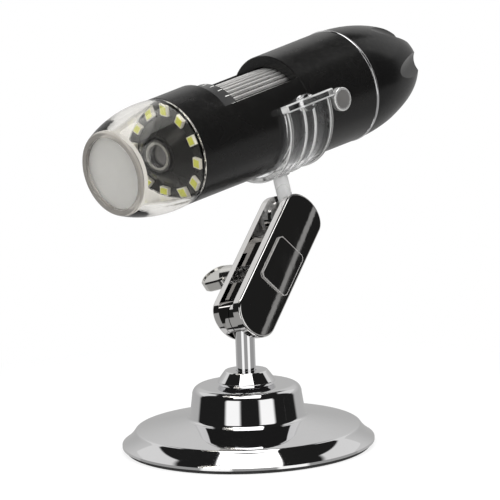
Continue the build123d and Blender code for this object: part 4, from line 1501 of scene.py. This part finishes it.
@dataclass
class Studio:
    """Floor, world, lamps and camera.

    Angles are in degrees, and those of the light go round from the camera. The sizes of the floor and
    of the lamps are in metres.
    """

    camera_place: tuple[float, float, float] = (-484.748, -499.542, 161.692)
    camera_yaw: float = -44.3246
    camera_pitch: float = 8.6679
    camera_roll: float = -1.9782
    focal_pixels: float = 2527.54
    frame_pixels: float = 500.0
    sensor_width: float = 36.0
    floor_radius: float = 0.16
    floor_gap: float = 0.00005
    floor_shade: float = 0.82
    shadow_share: float = 0.22
    shadow_fade: Point = (0.45, 0.95)
    ambient: float = 0.62
    backdrop_fade: Point = (109.0, 119.0)
    backdrop_rise: Point = (4.0, 30.0)
    backdrop_levels: Point = (0.46, 0.62)
    backdrop_top: Point = (38.0, 46.0)
    wing_reach: Point = (111.0, 146.0)
    wing_rise: Point = (23.0, 54.0)
    wing_soft: float = 2.0
    wing_level: float = 0.74
    left_box: Point = (-45.0, -15.0)
    right_box: Point = (25.0, 56.0)
    box_rise: Point = (-24.0, 25.0)
    box_soft: Point = (4.0, 1.5)
    box_level: float = 1.1
    streak_slope: float = 1.12
    streak_reach: Point = (-91.90, -91.74)
    streak_side: Point = (80.0, 100.0)
    streak_soft: Point = (0.03, 4.0)
    streak_level: float = 0.26
    panel_spread: float = 0.3
    panel_lean: float = 0.64
    panel_soft: Point = (0.03, 0.04)
    panel_level: float = 2.2
    ground_fade: Point = (-8.0, -4.0)
    ground_level: float = 0.34
    room_level: float = 0.014
    lamp_distance: float = 0.9
    lamp_target: float = 0.06

    @property
    def facing(self) -> float:
        """The angle that the camera stands at, in radians."""
        return atan2(-cos(radians(self.camera_yaw)), sin(radians(self.camera_yaw)))

    def make_camera(self) -> None:
        """Sets the camera where the photograph was taken from."""
        yaw, pitch, roll = radians(self.camera_yaw), radians(self.camera_pitch), radians(self.camera_roll)
        forward = Vector((-sin(yaw) * cos(pitch), cos(yaw) * cos(pitch), -sin(pitch)))
        level = Vector((cos(yaw), sin(yaw), 0.0))
        upward = level.cross(forward)
        right, up = level * cos(roll) + upward * sin(roll), upward * cos(roll) - level * sin(roll)
        data = bpy.data.cameras.new("photo_camera")
        data.sensor_width = self.sensor_width
        data.lens = self.focal_pixels / self.frame_pixels * self.sensor_width
        data.clip_start, data.clip_end = 0.01, 20.0
        camera = bpy.data.objects.new("photo_camera", data)
        rotation = Matrix((right, up, -forward)).transposed().to_4x4()
        camera.matrix_world = Matrix.Translation(Vector(self.camera_place) * MM) @ rotation
        bpy.context.collection.objects.link(camera)
        bpy.context.scene.camera = camera

    @staticmethod
    def _blend(sheet: Sheet, factor: Socket, first: bpy.types.Node, second: bpy.types.Node) -> bpy.types.Node:
        """Mix of two shaders."""
        return sheet.add("ShaderNodeMixShader", {0: factor, 1: first.outputs[0], 2: second.outputs[0]})

    @staticmethod
    def _seen(sheet: Sheet) -> tuple[Socket, Socket]:
        """Whether a ray is the camera's or went through something clear, and whether it is a reflection.

        Args:
            sheet: the sheet that it goes into.

        Returns:
            The two answers.
        """
        path = sheet.add("ShaderNodeLightPath").outputs
        seen = sheet.math("ADD", path["Is Camera Ray"], path["Is Transmission Ray"], clamp=True)
        return seen, path["Is Glossy Ray"]

    def make_floor(self) -> None:
        """Lays the pale floor, whose shadow fades out towards its rim, and which shiny pieces look past."""
        mesh = bmesh.new()
        bmesh.ops.create_circle(mesh, cap_ends=True, radius=self.floor_radius, segments=96)
        floor = from_bmesh("floor", mesh, shaded=False)
        floor.location.z = -self.floor_gap
        material = bpy.data.materials.new("pale_floor")
        material.use_nodes = True
        sheet = Sheet(material.node_tree)
        sheet.tree.nodes.clear()
        diffuse = sheet.add("ShaderNodeBsdfDiffuse", {"Color": (*[self.floor_shade] * 3, 1.0)})
        white = sheet.add("ShaderNodeEmission", {"Color": (1.0, 1.0, 1.0, 1.0), "Strength": 1.0})
        coords = sheet.add("ShaderNodeTexCoord").outputs["Object"]
        away = sheet.add("ShaderNodeVectorMath", {0: coords}, operation="LENGTH").outputs["Value"]
        near, far = (self.floor_radius * share for share in self.shadow_fade)
        shade = sheet.ramp(away, near, far, 1.0 - self.shadow_share, 1.0)
        seen, glossy = self._seen(sheet)
        first = self._blend(sheet, sheet.times(seen, shade), diffuse, white)
        last = self._blend(sheet, glossy, first, sheet.add("ShaderNodeBsdfTransparent"))
        sheet.add("ShaderNodeOutputMaterial", {"Surface": last.outputs[0]})
        floor.data.materials.append(material)

    def make_world(self) -> None:
        """Builds the white surroundings, with the dark side of the studio for reflections."""
        world = bpy.data.worlds.new("studio")
        bpy.context.scene.world = world
        world.use_nodes = True
        sheet = Sheet(world.node_tree)
        sheet.tree.nodes.clear()
        plain, white, studio = (
            sheet.add("ShaderNodeBackground", {"Color": (*color, 1.0), "Strength": strength})
            for color, strength in (
                ((1.0, 1.0, 1.0), self.ambient),
                ((1.0, 1.0, 1.0), 1.0),
                ((1.0, 0.995, 0.985), self._room(sheet)),
            )
        )
        seen, glossy = self._seen(sheet)
        last = self._blend(sheet, seen, self._blend(sheet, glossy, plain, studio), white)
        sheet.add("ShaderNodeOutputWorld", {"Surface": last.outputs[0]})

    @staticmethod
    def _band(sheet: Sheet, value: Socket, reach: Point, soft: float) -> Socket:
        """One soft-edged window over a value.

        Args:
            sheet: the sheet that it goes into.
            value: the socket that is tested.
            reach: where the window opens and closes.
            soft: half the width of its edges.

        Returns:
            A mask, which is 1 inside the window.
        """
        low, high = reach
        opening = sheet.ramp(value, low - soft, low + soft)
        return sheet.times(opening, sheet.ramp(value, high - soft, high + soft, 1.0, 0.0))

    def _room(self, sheet: Sheet) -> Socket:
        """Brightness of the studio by direction, which shiny pieces reflect.

        A pale backdrop with two brighter wings is behind the object and a panel overhead. Two soft
        boxes stand beside the camera, with dark room between and beyond them.

        Args:
            sheet: the world's sheet.

        Returns:
            The brightness.
        """
        coords = sheet.add("ShaderNodeTexCoord").outputs["Generated"]
        turning = {"Vector": coords, "Angle": -self.facing}
        parts = sheet.axes(sheet.add("ShaderNodeVectorRotate", turning, rotation_type="Z_AXIS").outputs[0])
        x, y, z = parts["X"], parts["Y"], parts["Z"]
        azimuth = sheet.math("DEGREES", sheet.math("ARCTAN2", y, x))
        height = sheet.math("DEGREES", sheet.math("ARCSINE", z))
        aside = sheet.math("ABSOLUTE", azimuth)
        slant = sheet.math("SUBTRACT", height, sheet.times(azimuth, self.streak_slope))
        backdrop = sheet.ramp(aside, *self.backdrop_fade)
        rising = sheet.ramp(height, *self.backdrop_rise, *self.backdrop_levels)
        light = sheet.times(sheet.times(backdrop, rising), sheet.ramp(height, *self.backdrop_top, 1.0, 0.0))
        wing_soft = (self.wing_soft, self.wing_soft)
        for first, reach, second, rise, soft, level in (
            (aside, self.wing_reach, height, self.wing_rise, wing_soft, self.wing_level),
            (azimuth, self.left_box, height, self.box_rise, self.box_soft, self.box_level),
            (azimuth, self.right_box, height, self.box_rise, self.box_soft, self.box_level),
            (slant, self.streak_reach, azimuth, self.streak_side, self.streak_soft, self.streak_level),
        ):
            across = self._band(sheet, first, reach, soft[0])
            patch = sheet.times(across, self._band(sheet, second, rise, soft[1]))
            light = sheet.math("MAXIMUM", light, sheet.times(patch, level))
        spread = sheet.math("ADD", sheet.times(z, self.panel_spread), sheet.times(x, self.panel_spread))
        within = sheet.math("SUBTRACT", spread, sheet.math("ABSOLUTE", y))
        near = sheet.math("SUBTRACT", sheet.times(z, self.panel_lean), x)
        side_soft, front_soft = self.panel_soft
        panel = sheet.times(sheet.ramp(within, 0.0, side_soft), sheet.ramp(near, 0.0, front_soft))
        ground = sheet.ramp(height, *self.ground_fade, self.ground_level, 0.0)
        for other in (sheet.times(panel, self.panel_level), ground, self.room_level):
            light = sheet.math("MAXIMUM", light, other)
        return light

    def make_lamp(self, name: str, azimuth: float, elevation: float, size: Point, power: float) -> None:
        """Hangs one soft lamp that faces the object.

        Args:
            name: the lamp's name.
            azimuth: its angle from the camera towards the image's right.
            elevation: its height above the object.
            size: its width and height, in metres.
            power: its power in watts.
        """
        data = bpy.data.lights.new(name, "AREA")
        data.shape = "RECTANGLE"
        data.size, data.size_y = size
        data.energy = power
        lamp = bpy.data.objects.new(name, data)
        lamp.visible_glossy = False
        angle, up = self.facing + radians(azimuth), radians(elevation)
        direction = Vector((cos(angle) * cos(up), sin(angle) * cos(up), sin(up)))
        place = Matrix.Translation(Vector((0.0, 0.0, self.lamp_target)) + direction * self.lamp_distance)
        lamp.matrix_world = place @ direction.to_track_quat("Z", "Y").to_matrix().to_4x4()
        bpy.context.collection.objects.link(lamp)

    def build(self) -> None:
        """Builds the studio."""
        bpy.context.scene.view_settings.view_transform = "Standard"
        self.make_camera()
        self.make_floor()
        self.make_world()
        self.make_lamp("left_box", -30.0, 36.0, (0.46, 0.62), 5.0)
        self.make_lamp("right_box", 40.0, 36.0, (0.44, 0.62), 5.0)
        self.make_lamp("top_panel", 180.0, 80.0, (0.7, 0.7), 6.0)


def main() -> None:
    """Builds the looks round the frame."""
    logging.basicConfig(level=logging.INFO, format="%(name)s: %(message)s")
    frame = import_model()
    frames, nodes = Frames(), frame["nodes"]
    finishes = FinishBook(GroupMaker(), frames)
    boxes = RingTree(Unit.BOX)
    Studio().build()
    Stand(frames, finishes, nodes).build()
    ClampArm(frames, finishes, nodes, thread=ThreadTree()).build()
    ClearClip(frames, finishes, nodes).build()
    Nose(frames, finishes, nodes, boxes=boxes).build()
    Barrel(frames, finishes, nodes, boxes=boxes, bars=RingTree(Unit.BAR)).build()
    Tail(frames, finishes, nodes).build()


if __name__ == "__main__":
    main()
